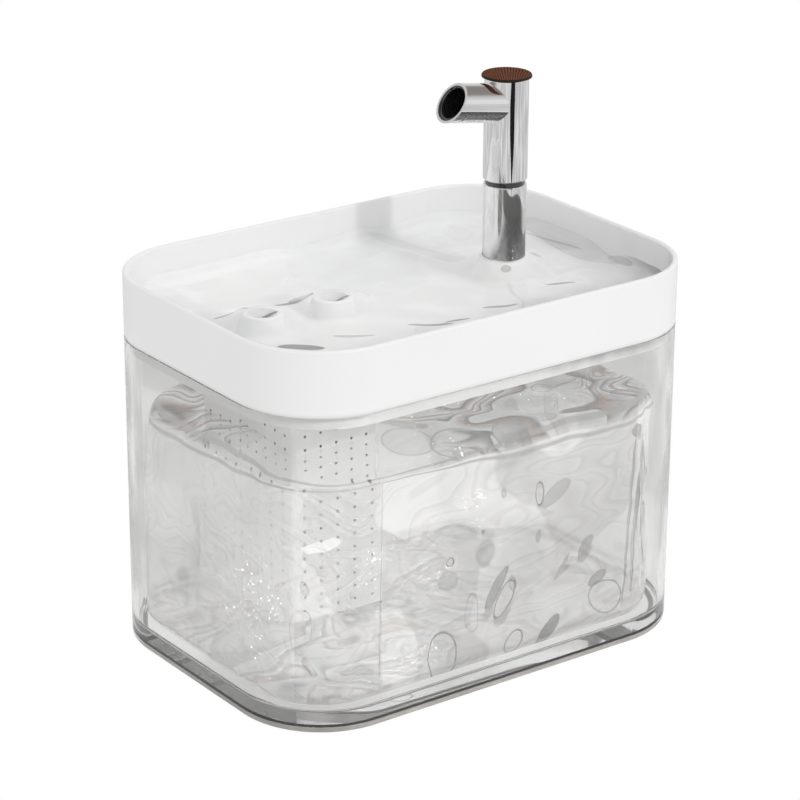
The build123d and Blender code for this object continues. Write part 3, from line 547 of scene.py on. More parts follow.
# On the tank's front: painted shade of lenses and streaks; the wider ones are also pressed in as
# facets.
FRONT_MARKS = (
    (21.8, 83.8, 2.6, 6, 0, 0, 0.8), (22.4, 63, 1.7, 3.4, 0, 0.35, 0.1),
    (49.6, 51.2, 2.6, 6, 38, 0.4, 0.1), (-6, 62.2, 5, 6, 20, 0.25, 0.05),
    (-27.7, 55, 5.6, 4.4, 0, 0.22, 0.1), (-26.7, 63.3, 2.2, 2.3, 0, 0, 0.7),
    (-8.9, 73, 0.8, 0.9, 0, 0.7, 0), (0.5, 43.2, 3.2, 11.5, 35, 0.45, 0.35),
    (5.5, 36.9, 4.6, 10.5, 35, 0, 0.7), (36.6, 44.3, 1, 7, 38, 0.35, 0),
    (56, 34.3, 3, 5.5, 60, 0.45, 0.2), (-30, 19.5, 8, 12.5, -5, 0.05, 0.7),
    (9.5, 15.3, 4.6, 6.4, 50, 0, 0.75), (28.4, 15.5, 3.4, 9, 40, 0.6, 0.3),
    (62, 24, 11, 8, 30, 0, 0.55), (31, 82, 9, 4, -30, 0.3, 0.1), (-64, 62, 0.35, 52, 1, 0.35, 0),
    (75, 62, 1, 46, 4, 0.3, 0.3), (83, 78, 1.6, 22, 6, 0.4, 0.3), (88, 66, 3.5, 40, -2, 0.2, 0.6),
    (80, 50, 2, 30, 5, 0.25, 0.5), (90, 38, 1.2, 18, -5, 0.4, 0.3), (79, 100, 5, 3, 20, 0.5, 0.2))
# On the tank's top: painted shade of lenses and swirls.
TOP_MARKS = (
    (-11.8, -58, 13, 17, -36, 0.12, 0.9), (-31, -46, 12, 15, -36, 0.25, 0.6),
    (12.6, -62, 8, 12, -36, 0.3, 0.7), (-23, -30, 12, 4, -36, 0.6, 0.2),
    (55.6, -30, 5, 5, 0, 0, 0.9), (30, -58, 10, 5, -20, 0.35, 0.4))
# On the tray's water: painted shade of the faucet's shadow, the drains' shaded mouths and dark
# streaks near the rim.
TRAY_MARKS = (
    (-46.7, 10, 6, 4, -30, 0.55, 0.6), (-70.6, -0.9, 3.8, 1.3, -36, 1, 0),
    (-33.6, -1.9, 3.8, 1.3, -36, 1, 0), (40, 42, 32, 5.5, -80, 0.2, 0),
    (-53.5, 12, 1.4, 7, 60, 0.9, 0), (-82.3, 11.5, 1.5, 8, 60, 0.9, 0),
    (-78.7, -36, 2.4, 10, 62, 1, 0.3), (-53, -38, 1.4, 9, 60, 0.5, 0.2),
    (-16, -43, 1.5, 10, 62, 0.9, 0.2), (-4, -46, 0.9, 6, 70, 0.9, 0),
    (22, -42.5, 1.3, 8, 66, 0.8, 0.2), (60, -37.5, 1.2, 7, 66, 0.8, 0.2),
    (49, -12, 2.6, 2.2, 0, 0.5, 0.2), (104, -26, 4, 9, -10, 0.5, 0.1), (96, 12, 1, 16, 20, 0.45, 0),
    (102, 14, 9, 44, -4, 0.22, 0.25), (-98, -6, 1, 8, 10, 0.5, 0))


def place_oval(tree, middle, half, turn=(0, 0, 0), **values):
    """The outputs of one oval: middle and half size in mm, turn in degrees."""
    return use_group(tree, oval, Middle=[v * MM for v in middle], Turn=[radians(v) for v in turn],
                     Half_Size=[v * MM for v in half], **values)


def soft_area(tree, middle, half):
    """Mask of a soft oval area, in mm."""
    return place_oval(tree, middle, half, Warp=0.006, Soft=0.25)["Inside"]


def add_marks(colour, marks, height=None):
    """Darken marks of painted shade on a colour: on the tank's front, or on a level surface at a
    height in mm.
    """
    for x, y, half_x, half_y, turn, fill, edge in marks:
        if height is None:
            place = (x, FRONT_Y, y), (half_x, MARK_DEPTH, half_y), (0, turn, 0)
            fill, edge = fill * FRONT_STRENGTH, edge * FRONT_STRENGTH
        else:
            place = (x, y, height), (half_x, half_y, MARK_DEPTH), (0, 0, turn)
        smaller = min(half_x, half_y)
        mark = place_oval(colour.id_data, *place, Soft=0.06, Warp=0.15 * smaller * MM,
                          Rim=min(0.5, MARK_RIM_MM / smaller))
        colour = mix_colour(times(mark["Inside"], min(0.9, fill)), colour, PAINTED_SHADE_TONE)
        colour = mix_colour(times(mark["Edge"], min(1.0, edge)), colour, PAINTED_SHADE_TONE)
    return colour


print("marks:", len(FRONT_MARKS) + len(TOP_MARKS) + len(TRAY_MARKS))

# %% [markdown]
# The tank is clear with hardly any tint of its own. The water is clear too, and bends light less
# than real water would, because it is shown as one rippled block and the filter box has to stay
# readable. Its sides, its top and the window before the filter box differ only in their veil.

# %% Glass and water
TANK_WATER_IOR = 1.06
TRAY_WATER_IOR = 1.30
SWIRL_CONTRAST = 2.4
FINE_SWIRLS = {"Swirl_Scale": 44.0, "Warp": 0.014}
TOP_HEIGHT = 112.0
TRAY_TOP_HEIGHT = 162.0

looks = {"clear_glass": see_through("clear_glass", (0.975, 0.975, 0.97), 1.46, 0.05)}


def tank_water_material(name, veil):
    """Water of the tank, its colour painted with light and shade: ripples and ovals on its sides,
    swirls on its top and a waterline, and a painted glint.
    """
    material = see_through(name, 0.80, TANK_WATER_IOR, veil, Coat_Weight=1.0,
                           Coat_Roughness=0.01, Coat_IOR=1.45)
    tree = material.node_tree
    pattern = use_group(tree, rippled, Light=(0.95, 0.95, 0.945), Dark=0.72,
                        Line=(0.36, 0.36, 0.35))
    inputs = {"Color": pattern["Swirls"], "Gamma": SWIRL_CONTRAST}
    deepened = add_node("Gamma", inputs).outputs[0]
    calm = soft_area(tree, (-68, -42, 112), (58, 40, 20))
    top = mix_colour(calm, deepened, 0.88)
    busy = math_node("MAXIMUM", soft_area(tree, (-104, 38, 105), (24, 42, 20)),
                     soft_area(tree, (92, 0, 105), (38, 90, 20)))
    fine = use_group(tree, rippled, **FINE_SWIRLS)["Swirls"]
    for mask in (busy, times(busy, 0.7)):
        top = mix_colour(mask, top, fine, "MULTIPLY")
    top = add_marks(top, TOP_MARKS, TOP_HEIGHT)
    # Painted light: the left end, which the lamp doesn't reach, is made lighter.
    painted_light_left_end = times(soft_area(tree, (-125, 10, 60), (50, 90, 90)), 0.7)
    sides = mix_colour(painted_light_left_end, pattern["Sides"], (1.0, 1.0, 0.995))
    # Painted shade: the low right part of the front is darker.
    painted_shade_low_right = times(soft_area(tree, (45, -72, 15), (75, 40, 62)), 0.36)
    sides = mix_colour(painted_shade_low_right, sides, 0.35)
    sides = mix_colour(0.26, sides, pattern["Swirls"], "MULTIPLY")
    sides = add_marks(sides, FRONT_MARKS)
    whole = mix_colour(pattern["Upper"], sides, top)
    # Painted shade: a dark line along the waterline.
    waterline = times(pattern["Waterline"], 0.8)
    # Painted highlight: a glint glows on the front left corner, and the rest of the water glows
    # faintly.
    glint = place_oval(tree, (-88.5, -67, 86.5), (2.8, 12, 9), (0, 70, 0), Warp=0.004, Soft=0.1)
    feed(tree.nodes[SHADER],
         Base_Color=mix_colour(waterline, whole, (0.34, 0.33, 0.32)), Emission_Strength=0.3,
         Emission_Color=mix_colour(glint["Inside"], 0.16, 1.0))
    return material


tank_looks = [tank_water_material("tank_water_sides", 0.45),
              tank_water_material("tank_water_top", 0.12),
              tank_water_material("tank_water_window", 0.3)]

# Painted light: the tray's water glows faintly, which brightens the tray's inside.
tray_water_look = see_through("tray_water", 1.0, TRAY_WATER_IOR, 0.25,
                              Emission_Color=1.0, Emission_Strength=0.07)
tree = tray_water_look.node_tree
pattern = use_group(tree, rippled, Light=1.0, Dark=(0.93, 0.935, 0.94), Line=0.80,
                    Patch_Scale=13.0, Oval_Scale=26.0)
whole = add_marks(pattern["Sides"], TRAY_MARKS, TRAY_TOP_HEIGHT)
# Painted reflection: polished metal sees part of this water as a dull grey, as it does in a dim
# room.
seen_in_metal = add_node("LightPath", tree=tree).outputs["Is Glossy Ray"]
to_the_left = place_oval(tree, (-44.5, -54, 162), (60, 20, 20), (0, 0, 28), Warp=0.01, Soft=0.1)
dull_area = math_node("MAXIMUM", soft_area(tree, (66, -34, 162), (60, 62, 20)),
                      to_the_left["Inside"])
dull = mix_colour(0.9, pattern["Swirls"], (0.01, 0.01, 0.009))
whole = mix_colour(times(seen_in_metal, dull_area), whole, dull)
feed(tree.nodes[SHADER], Base_Color=whole)
print("see-through looks:", len(looks) + len(tank_looks) + 1)

# %% [markdown]
# Plastic and rubber parts come from moulds, so they share one recipe: a slightly cloudy colour, a
# fine grain, and on the parts that get touched some lighter rubbed edges and a little lime. Metal
# has fine scratches instead. One table holds what differs from part to part.

# %% Plastic, rubber and metal
WHITE_SKIN = ((0.94, 0.94, 0.938), (0.91, 0.91, 0.908), (0.28, 0.36), 1800.0, 0.04,
              {"wear": 0.95, "lime": 0.04})
WET_GLOSS = {"Coat_Weight": 1.0, "Coat_Roughness": 0.02}
DULL = {"Specular_IOR_Level": 0.03}
# Colour, shade, lowest and highest roughness, grain scale, bump and what else a look has.
MOULDED = {
    "white_plastic": WHITE_SKIN,
    "tray_plastic": WHITE_SKIN,
    # Painted shade: the inside of the filter box and the walls of its holes are dark grey.
    "filter_inside_painted_shade": (0.42, 0.28, (0.5, 0.7), 1400.0, 0.08, {}),
    "filter_plastic": (0.86, 0.80, (0.42, 0.55), 1400.0, 0.08, {"wear": 0.92}),
    "pump_plastic": ((0.80, 0.81, 0.82), (0.74, 0.75, 0.76), (0.38, 0.5), 1200.0, 0.1,
                     {"wear": 0.9, "lime": 0.15}),
    # Painted highlight: the bubbles glow white.
    "bubble_skin": (0.98, 0.90, (0.05, 0.1), 300.0, 0.0,
                    {"Emission_Color": 1.0, "Emission_Strength": 6.0}),
    "grey_rubber": ((0.50, 0.47, 0.44), (0.12, 0.10, 0.085), (0.3, 0.5), 700.0, 0.15,
                    {"wear": (0.32, 0.31, 0.30), "cloud": 60.0}),
    "black_rubber": (0.02, 0.03, (0.4, 0.6), 900.0, 0.1, {}),
    "black_gloss": (0.008, 0.02, (0.03, 0.08), 500.0, 0.3, WET_GLOSS),
    "wet_black": (0.008, 0.02, (0.02, 0.05), 350.0, 1.0, WET_GLOSS),
    "white_silicone": ((0.82, 0.82, 0.81), (0.76, 0.76, 0.75), (0.3, 0.45), 800.0, 0.05, {}),
    "filter_cotton": ((0.90, 0.90, 0.88), (0.78, 0.78, 0.75), (0.85, 0.95), 2500.0, 0.6, {}),
    "carbon_granules": (0.03, 0.07, (0.5, 0.9), 900.0, 1.0, {}),
    "pump_foam": ((0.30, 0.31, 0.32), (0.18, 0.18, 0.19), (0.85, 0.95), 1100.0, 1.0, {}),
    "ferrite": ((0.05, 0.05, 0.055), (0.09, 0.09, 0.095), (0.4, 0.6), 600.0, 0.2, {}),
    "copper_winding": ((0.55, 0.24, 0.10), (0.40, 0.16, 0.07), (0.25, 0.4), 400.0, 0.2,
                       {"Metallic": 0.9}),
    "brown_cap": ((0.19, 0.060, 0.024), (0.15, 0.046, 0.018), (0.5, 0.6), 900.0, 0.05, DULL),
    # Painted shade: the cap's rim and bevel, and the grooves between its ribs, are darker brown.
    "cap_bevel_painted_shade": ((0.03, 0.022, 0.018), (0.02, 0.016, 0.014), (0.4, 0.5), 900.0, 0.05,
                  {"Specular_IOR_Level": 0.1}),
    "cap_grooves_painted_shade": ((0.062, 0.022, 0.011), (0.05, 0.018, 0.009), (0.5, 0.6), 900.0, 0.05, DULL),
}
# Heights and tone of the painted shade low on the tray.
FLANGE_SHADE_HEIGHTS = (147.4 * MM, 145.6 * MM)
FLANGE_SHADE_TONE = (0.62, 0.62, 0.61)
SHADED_TONE = (0.2, 0.2, 0.195)

for name, (*values, more) in MOULDED.items():
    looks[name] = moulded(name, *values, **more)
looks["chrome"] = polished("chrome", 0.86, 0.02, 0.06)
looks["steel"] = polished("steel", 0.55, 0.2, 0.35)

# Painted shade: the tray is a little darker below about 147 mm, where it sits down in the tank's
# rim.
tree = looks["tray_plastic"].node_tree
shader = tree.nodes[SHADER]
tone = shader.inputs["Base Color"].links[0].from_socket
height = add_node("SeparateXYZ", {0: place_in(tree)}).outputs["Z"]
tone = mix_colour(times(between(height, *FLANGE_SHADE_HEIGHTS), 0.5), tone, FLANGE_SHADE_TONE)
# The chrome tube sees the near walls of the tray from behind, on their shaded side.
shaded_walls = soft_area(tree, (75, -78, 168), (105, 58, 22))
seen_in_chrome = add_node("LightPath", tree=tree).outputs["Is Glossy Ray"]
tone = mix_colour(times(seen_in_chrome, shaded_walls), tone, SHADED_TONE)
feed(shader, Base_Color=tone)
print("materials:", len(bpy.data.materials))

# %% [markdown]
# Every solid gets the finish of the stuff that it is made of: clear and white plastic outside,
# chrome on the faucet, and rubber, silicone, steel, ferrite and copper in the pump and the
# seals. Only the finish changes; the solids themselves stay as they were loaded.

# %% Dress the solids
FINISHES = {
    "clear_glass": "tank", "grey_rubber": "base_ring", "tray_plastic": "tray",
    "chrome": "faucet_stem faucet_head", "black_gloss": "swivel_washer spout_liner",
    "wet_black": "aerator", "brown_cap": "faucet_cap", "white_plastic": "faucet_nut hose_elbow",
    "white_silicone": "cable_grommet stem_gasket nut_washer riser_hose suction_cups",
    "black_rubber": "head_o_rings cap_o_ring front_bush rear_bush",
    "filter_plastic": "filter_box filter_frame", "carbon_granules": "carbon_bed",
    "filter_cotton": "filter_pad", "pump_foam": "pump_sponge", "ferrite": "rotor_magnet",
    "pump_plastic": "pump_housing pump_cover flow_slider intake_grille impeller "
                    "pump_back_cover cable_gland",
    "steel": "rotor_shaft stator_core", "copper_winding": "stator_coil",
}
bare = set(nodes)
for name, dressed in FINISHES.items():
    for node_name in dressed.split():
        mesh = nodes[node_name].data
        mesh.materials.clear()
        mesh.materials.append(looks[name])
        bare.remove(node_name)
print("finishes:", len(FINISHES), "bare solids:", sorted(bare))

# %% [markdown]
# Both bodies of water follow the rounded plan of the tank. A ring of points runs round that plan,
# and rings of growing inset and height make the sides, a rounded shoulder and the surface. The
# rings share their point count, so the skin between two of them is a plain band of quads.

# %% Rings of water
tank_lo, tank_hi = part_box("tank")
PLAN_WIDTH = tank_hi.x - tank_lo.x
PLAN_DEPTH = tank_hi.y - tank_lo.y
PLAN_CORNER = 41.5 * MM
RING_STEP = 1.6 * MM


def plan_ring(inset, step=RING_STEP):
    """Points and outward directions round the shared plan; the step is that of no inset."""
    half_x, half_y = PLAN_WIDTH / 2 - PLAN_CORNER, PLAN_DEPTH / 2 - PLAN_CORNER
    corners = ((half_x, -half_y, -90), (half_x, half_y, 0), (-half_x, half_y, 90),
               (-half_x, -half_y, 180))
    arc_count = ceil(PLAN_CORNER * pi / 2 / step)
    ring = []
    for (x, y, start), (next_x, next_y, _) in zip(corners, corners[1:] + corners[:1]):
        for k in range(arc_count + 1):
            angle = radians(start + 90 * k / arc_count)
            out = Vector((cos(angle), sin(angle), 0))
            here = Vector((x, y, 0)) + out * (PLAN_CORNER - inset)
            ring.append((here, out))
        there = Vector((next_x, next_y, 0)) + out * (PLAN_CORNER - inset)
        side_count = ceil((there - here).length / step)
        for k in range(1, side_count):
            ring.append((here.lerp(there, k / side_count), out))
    return ring


def surface_ring(plan, share, level, wave):
    """A ring drawn in towards the middle of a surface, on its waves."""
    return [Vector((p.x * share, p.y * share, level + wave(p.x * share, p.y * share)))
            for p in plan]


def skin_rings(name, rings, centre_first, centre_last, *looks):
    """Closed piece through a list of rings, with a centre point at each end."""
    count = len(rings[0])
    points = [p for ring in rings for p in ring] + [centre_first, centre_last]
    first, last = len(points) - 2, len(points) - 1
    top = first - count
    faces = []
    for start in range(0, top, count):
        for k in range(count):
            here, after = start + k, start + (k + 1) % count
            faces.append((here, after, after + count, here + count))
    for k in range(count):
        after = (k + 1) % count
        faces += [(first, after, k), (last, top + k, top + after)]
    return new_piece(name, points, faces, *looks)


def swell(x, y, z, *waves):
    """Smooth noise, the sum of waves that each have a share, a size in metres and a seed."""
    return sum(share * noise.noise(Vector((x / size + seed, y / size - seed, z / size + 2 * seed)))
               for share, size, seed in waves)


print("points in a ring:", len(plan_ring(0)))

# %% [markdown]
# The water in the tank stands a little clear of the glass, with rippled sides, soft shoulders and
# a restless top. The ripples are real geometry, because each one has to act as a small lens. The
# marks on the front are pressed in as shallow facets. Near the filter box and along the front
# corner the water is calmer, with a small shoulder.

# %% Water in the tank
WATER_INSET = 9.0 * MM
WATER_BOTTOM = tank_lo.z + 8.8 * MM
WATER_LEVEL = 112.5 * MM
# Insets and heights of the two rings that round off the bottom edge, and where the side starts.
FOOT_RINGS = ((5.0 * MM, 0.0), (1.2 * MM, 0.8 * MM))
SIDE_START = 4.0 * MM
SIDE_STEP = 1.6 * MM
RIPPLE_HEIGHT = 2.6 * MM
# Share, size and seed of each wave.
SIDE_WAVES = ((1.0, 38 * MM, 3.1), (0.5, 15 * MM, 7.7))
TOP_WAVES = ((1.4, 42 * MM, 1.3), (0.4, 19 * MM, 5.9))
CALM_FOOT = 12.0 * MM
CALM_MIDDLE = (-66.0 * MM, -72.0 * MM)
CALM_REACH = 56.0 * MM
CALM_RIPPLE = 0.08
SHOULDER = 9.0 * MM
SMALL_SHOULDER = 2.2 * MM
SHOULDER_MIDDLE = (-62.0 * MM, -66.0 * MM)
SHOULDER_REACH = 75.0 * MM
SHOULDER_STEPS = 6
SURFACE_RINGS = 46
NARROWEST_FACET = 0.6
FACET_DEPTH = 0.8
FACET_TILT = 0.3
FACET_REACH = 1.25
FACET_SLOPE = 0.35
FRONT_FACING = -0.7
WINDOW_EDGE = (-64.0 * MM, -58.0 * MM)


def side_ripple(p):
    """How far the side stands out or in at a point."""
    height = RIPPLE_HEIGHT * swell(*p, *SIDE_WAVES)
    away = min(1.0, hypot(p.x - CALM_MIDDLE[0], p.y - CALM_MIDDLE[1]) / CALM_REACH)
    return height * (CALM_RIPPLE + (1 - CALM_RIPPLE) * away ** 3)


def top_wave(x, y):
    """Height of the tank's water above its level."""
    return RIPPLE_HEIGHT * swell(x, y, 0, *TOP_WAVES)


def facet_depth(p):
    """How far the front is pressed in at a point, where the marks are."""
    depth = 0.0
    for x, z, half_width, half_height, lean, fill, _ in FRONT_MARKS:
        if half_width > NARROWEST_FACET:
            across, up, lean = p.x / MM - x, p.z / MM - z, radians(lean)
            along_x = (across * cos(lean) - up * sin(lean)) / half_width
            along_z = (across * sin(lean) + up * cos(lean)) / half_height
            edge = min(1.0, max(0.0, (FACET_REACH - hypot(along_x, along_z)) / FACET_SLOPE))
            tilted = (FACET_DEPTH + FACET_TILT * fill * along_x) * MM
            depth = max(depth, tilted * edge * edge * (3 - 2 * edge))
    return depth


def shoulder_radius(x, y):
    """Large at the ends of the tank and small along the front corner."""
    away = hypot(x - SHOULDER_MIDDLE[0], (y - SHOULDER_MIDDLE[1]) * 1.4) / SHOULDER_REACH
    return SMALL_SHOULDER + (SHOULDER - SMALL_SHOULDER) * min(1.0, away) ** 1.5


def water_block():
    """Rings of the rippled block of water, from its bottom to its middle."""
    plan = plan_ring(WATER_INSET)
    rings = [[p + Vector((0, 0, WATER_BOTTOM + rise)) for p, _ in plan_ring(WATER_INSET + inset)]
             for inset, rise in FOOT_RINGS]
    radii = [shoulder_radius(p.x, p.y) for p, _ in plan]
    low = WATER_BOTTOM + SIDE_START
    count = ceil((WATER_LEVEL - SHOULDER - low) / SIDE_STEP)
    for k in range(count + 1):
        ring = []
        for (p, out), radius in zip(plan, radii):
            z = low + (WATER_LEVEL - radius - low) * k / count
            calm = min(1.0, (z - WATER_BOTTOM) / CALM_FOOT)
            spot = Vector((p.x, p.y, z))
            sunk = facet_depth(spot) if out.y < FRONT_FACING else 0.0
            lift = Vector((0, 0, top_wave(p.x, p.y) * (k / count) ** 3))
            ring.append(spot + out * (side_ripple(spot) * calm - sunk) + lift)
        rings.append(ring)
    for k in range(1, SHOULDER_STEPS + 1):
        angle = radians(90 * k / SHOULDER_STEPS)
        ring = []
        for (outer, out), radius in zip(plan, radii):
            p = outer - out * radius * (1 - cos(angle))
            foot = WATER_LEVEL - radius
            ripple = side_ripple(Vector((outer.x, outer.y, foot)))
            spot = Vector((p.x, p.y, foot + radius * sin(angle) + top_wave(p.x, p.y)))
            ring.append(spot + out * ripple * cos(angle))
        rings.append(ring)
    inner = [p - out * radius for (p, out), radius in zip(plan, radii)]
    for k in range(1, SURFACE_RINGS):
        rings.append(surface_ring(inner, 1 - k / SURFACE_RINGS, WATER_LEVEL, top_wave))
    return rings


tank_water = skin_rings("tank_water", water_block(), Vector((0, 0, WATER_BOTTOM)),
                        Vector((0, 0, WATER_LEVEL + top_wave(0, 0))), *tank_looks)
# The top is the surface's rings and the last ones of the shoulder. The faces come ring by ring,
# and after them those round the two centre points, by turns one below and one on top.
ring_faces = len(plan_ring(WATER_INSET))
first_fan = len(tank_water.data.polygons) - 2 * ring_faces
first_top = first_fan - (SURFACE_RINGS + 3) * ring_faces
for face in tank_water.data.polygons:
    beyond = face.index - first_fan
    if face.index >= first_top and (beyond < 0 or beyond % 2 == 1):
        face.material_index = 1
    elif face.center.x < WINDOW_EDGE[0] and face.center.y < WINDOW_EDGE[1]:
        face.material_index = 2
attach(tank_water, "tank_body")
print("tank water faces:", len(tank_water.data.polygons))

# %% [markdown]
# The tray holds a thin sheet of water. It reaches a little into the tray's walls and floor, so no
# air gap shows, and it is cut out where the faucet stands. It climbs the chrome tube as a low
# mound, where the water wells up, and closes over each drain as a smooth cushion with a small
# funnel in its middle.

# %% Water in the tray
TRAY_WATER_INSET = 2.0 * MM
TRAY_WATER_BOTTOM = 147.0 * MM
TRAY_WATER_LEVEL = 161.8 * MM
TRAY_WAVE_HEIGHT = 1.8 * MM
TRAY_WAVES = ((1.3, 34 * MM, 2.2), (0.5, 15 * MM, 9.4))
TRAY_RING_STEP = 2.0 * MM
TRAY_RINGS = 60
FAUCET = (56.9 * MM, 0.0)
FAUCET_HOLE = 9.3 * MM
MOUND_HEIGHT = 5.6 * MM
MOUND_START = 9.0 * MM
MOUND_WIDTH = 9.0 * MM
DRAINS = ((-74.4 * MM, 0.0), (-37.2 * MM, 0.0))
CUSHION_TOP = 166.5 * MM
CUSHION_RADIUS = 9.4 * MM
CUSHION_SLOPE = 6.0 * MM
FUNNEL_DEPTH = 3.2 * MM
FUNNEL_WIDTH = 4.6 * MM
UPRIGHT = 0.3


def tray_wave(x, y):
    """Height of the tray's water above its level."""
    waves = swell(x, y, 0, *TRAY_WAVES)
    away = max(0.0, hypot(x - FAUCET[0], y - FAUCET[1]) - MOUND_START)
    height = TRAY_WAVE_HEIGHT * waves + MOUND_HEIGHT * exp(-(away / MOUND_WIDTH) ** 2.0)
    for drain_x, drain_y in DRAINS:
        away = hypot(x - drain_x, y - drain_y)
        beyond = max(0.0, away - CUSHION_RADIUS) / CUSHION_SLOPE
        height += (CUSHION_TOP - TRAY_WATER_LEVEL - height) * exp(-beyond ** 1.6)
        height -= FUNNEL_DEPTH * exp(-(away / FUNNEL_WIDTH) ** 2.5)
    return height


def apply_modifiers(piece):
    """Keep the result of a piece's modifiers as its mesh."""
    graph = bpy.context.evaluated_depsgraph_get()
    result = bpy.data.meshes.new_from_object(piece.evaluated_get(graph))
    piece.modifiers.clear()
    old = piece.data
    piece.data = result
    bpy.data.meshes.remove(old)


def cut_cylinder(piece, x, y, radius):
    """Take an upright cylinder out of a closed mesh."""
    shape = bmesh.new()
    bmesh.ops.create_cone(shape, cap_ends=True, segments=48, radius1=radius, radius2=radius,
                          depth=60 * MM)
    bmesh.ops.translate(shape, verts=shape.verts, vec=(x, y, TRAY_WATER_LEVEL))
    tool_mesh = bpy.data.meshes.new("cutter")
    shape.to_mesh(tool_mesh)
    shape.free()
    tool = put_in_scene("cutter", tool_mesh)
    modifier = piece.modifiers.new("cut", "BOOLEAN")
    modifier.operation = "DIFFERENCE"
    modifier.solver = "EXACT"
    modifier.object = tool
    apply_modifiers(piece)
    bpy.data.objects.remove(tool)


plan = [p for p, _ in plan_ring(TRAY_WATER_INSET, TRAY_RING_STEP)]
rings = [[p + Vector((0, 0, TRAY_WATER_BOTTOM)) for p in plan]]
for k in range(TRAY_RINGS):
    rings.append(surface_ring(plan, 1 - k / TRAY_RINGS, TRAY_WATER_LEVEL, tray_wave))
tray_water = skin_rings("tray_water", rings, Vector((0, 0, TRAY_WATER_BOTTOM)),
                        Vector((0, 0, TRAY_WATER_LEVEL + tray_wave(0, 0))))
cut_cylinder(tray_water, *FAUCET, FAUCET_HOLE)
for face in tray_water.data.polygons:
    face.use_smooth = abs(face.normal.z) > UPRIGHT
tray_water.data.materials.clear()
tray_water.data.materials.append(tray_water_look)
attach(tray_water, "tray_body")
print("tray water faces:", len(tray_water.data.polygons))

# %% [markdown]
# The pump keeps the water full of tiny air bubbles, which catch the light as white specks. They are
# real little balls, scattered with a fixed seed in the free water and joined to one mesh, and they
# glow as painted highlights.

# %% Air bubbles
BUBBLES = 800
BUBBLE_RADII = (0.09 * MM, 0.24 * MM)
# Middle and spread of each cloud in mm, and its share of the bubbles.
BUBBLE_CLOUDS = (((-42, -66.5, 56), (30, 2, 22), 0.22), ((-98, -30, 46), (3, 34, 28), 0.18),
                 ((-9, -66.5, 88), (12, 2, 6), 0.08), ((-38, -66.5, 20), (26, 2, 12), 0.22),
                 ((-62, -66.5, 74), (10, 2, 8), 0.06), ((20, -30, 60), (50, 25, 35), 0.12),
                 ((0, 0, 106), (80, 45, 3), 0.12))
BUBBLE_ROOM = (100.0 * MM, 68.3 * MM, 12.0 * MM, 109.0 * MM)
ROOM_CORNER = (72.0 * MM, 40.0 * MM, 29.0 * MM)
BUBBLE_GAP = 3.0 * MM
STANDING = [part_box(name) for name in ("filter_box", "pump_housing", "intake_grille", "riser_hose")]
dice = Random(7)


def in_free_water(spot):
    """Whether a bubble at a spot is in the water and clear of everything that stands in it."""
    wide, deep = abs(spot.x), abs(spot.y)
    half_x, half_y, lowest, highest = BUBBLE_ROOM
    corner_x, corner_y, corner = ROOM_CORNER
    blocked = any(lo.x - BUBBLE_GAP < spot.x < hi.x + BUBBLE_GAP and
                  lo.y - BUBBLE_GAP < spot.y < hi.y + BUBBLE_GAP and
                  spot.z < hi.z + BUBBLE_GAP for lo, hi in STANDING)
    return (wide < half_x and deep < half_y and lowest < spot.z < highest and not blocked and
            hypot(max(0.0, wide - corner_x), max(0.0, deep - corner_y)) < corner)


bubble_spots = []
for middle, spread, share in BUBBLE_CLOUDS:
    wanted = len(bubble_spots) + round(BUBBLES * share)
    while len(bubble_spots) < wanted:
        spot = Vector([(m + dice.gauss(0, 0.5) * r) * MM for m, r in zip(middle, spread)])
        if in_free_water(spot):
            bubble_spots.append(spot)
shape = bmesh.new()
bmesh.ops.create_icosphere(shape, subdivisions=2, radius=1.0)
ball_points = [v.co.copy() for v in shape.verts]
ball_faces = [[v.index for v in face.verts] for face in shape.faces]
shape.free()
points, faces = [], []
for spot in bubble_spots:
    radius = BUBBLE_RADII[0] + (BUBBLE_RADII[1] - BUBBLE_RADII[0]) * dice.random() ** 3
    faces += [[len(points) + index for index in face] for face in ball_faces]
    points += [spot + p * radius for p in ball_points]
bubbles = new_piece("air_bubbles", points, faces, looks["bubble_skin"])
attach(bubbles, "tank_body")
print("bubbles:", len(bubble_spots), "faces:", len(bubbles.data.polygons))

# %% [markdown]
# The filter box is moulded with rows of small round holes. A boolean with hundreds of cutters
# would be slow and untidy, so the skin is laid out as a grid round the box, and every holed
# cell is a square of quads with a sixteen-sided opening. Solidify then gives it its wall.

# %% Perforated filter box
BOX_X = -59.5 * MM
BOX_SIZE = (45.0 * MM, 68.0 * MM)
BOX_CORNER = 2.2 * MM
BOX_WALL = 1.6 * MM
BOX_CHAMFER = 0.6 * MM
box_lo, box_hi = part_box("filter_box")
HOLE_RADIUS = 0.72 * MM
ROW_PITCH = 6.2 * MM
ROWS = 14
FIRST_ROW = 40.0 * MM
COLUMNS = (5, 8)
QUARTERS = 4
CORNER_STEPS = 5
HOPPER_X = -56.0 * MM
HOPPER_WIDTH = 64.0 * MM
HOPPER_START = 125.0 * MM
HOPPER_END = 134.0 * MM


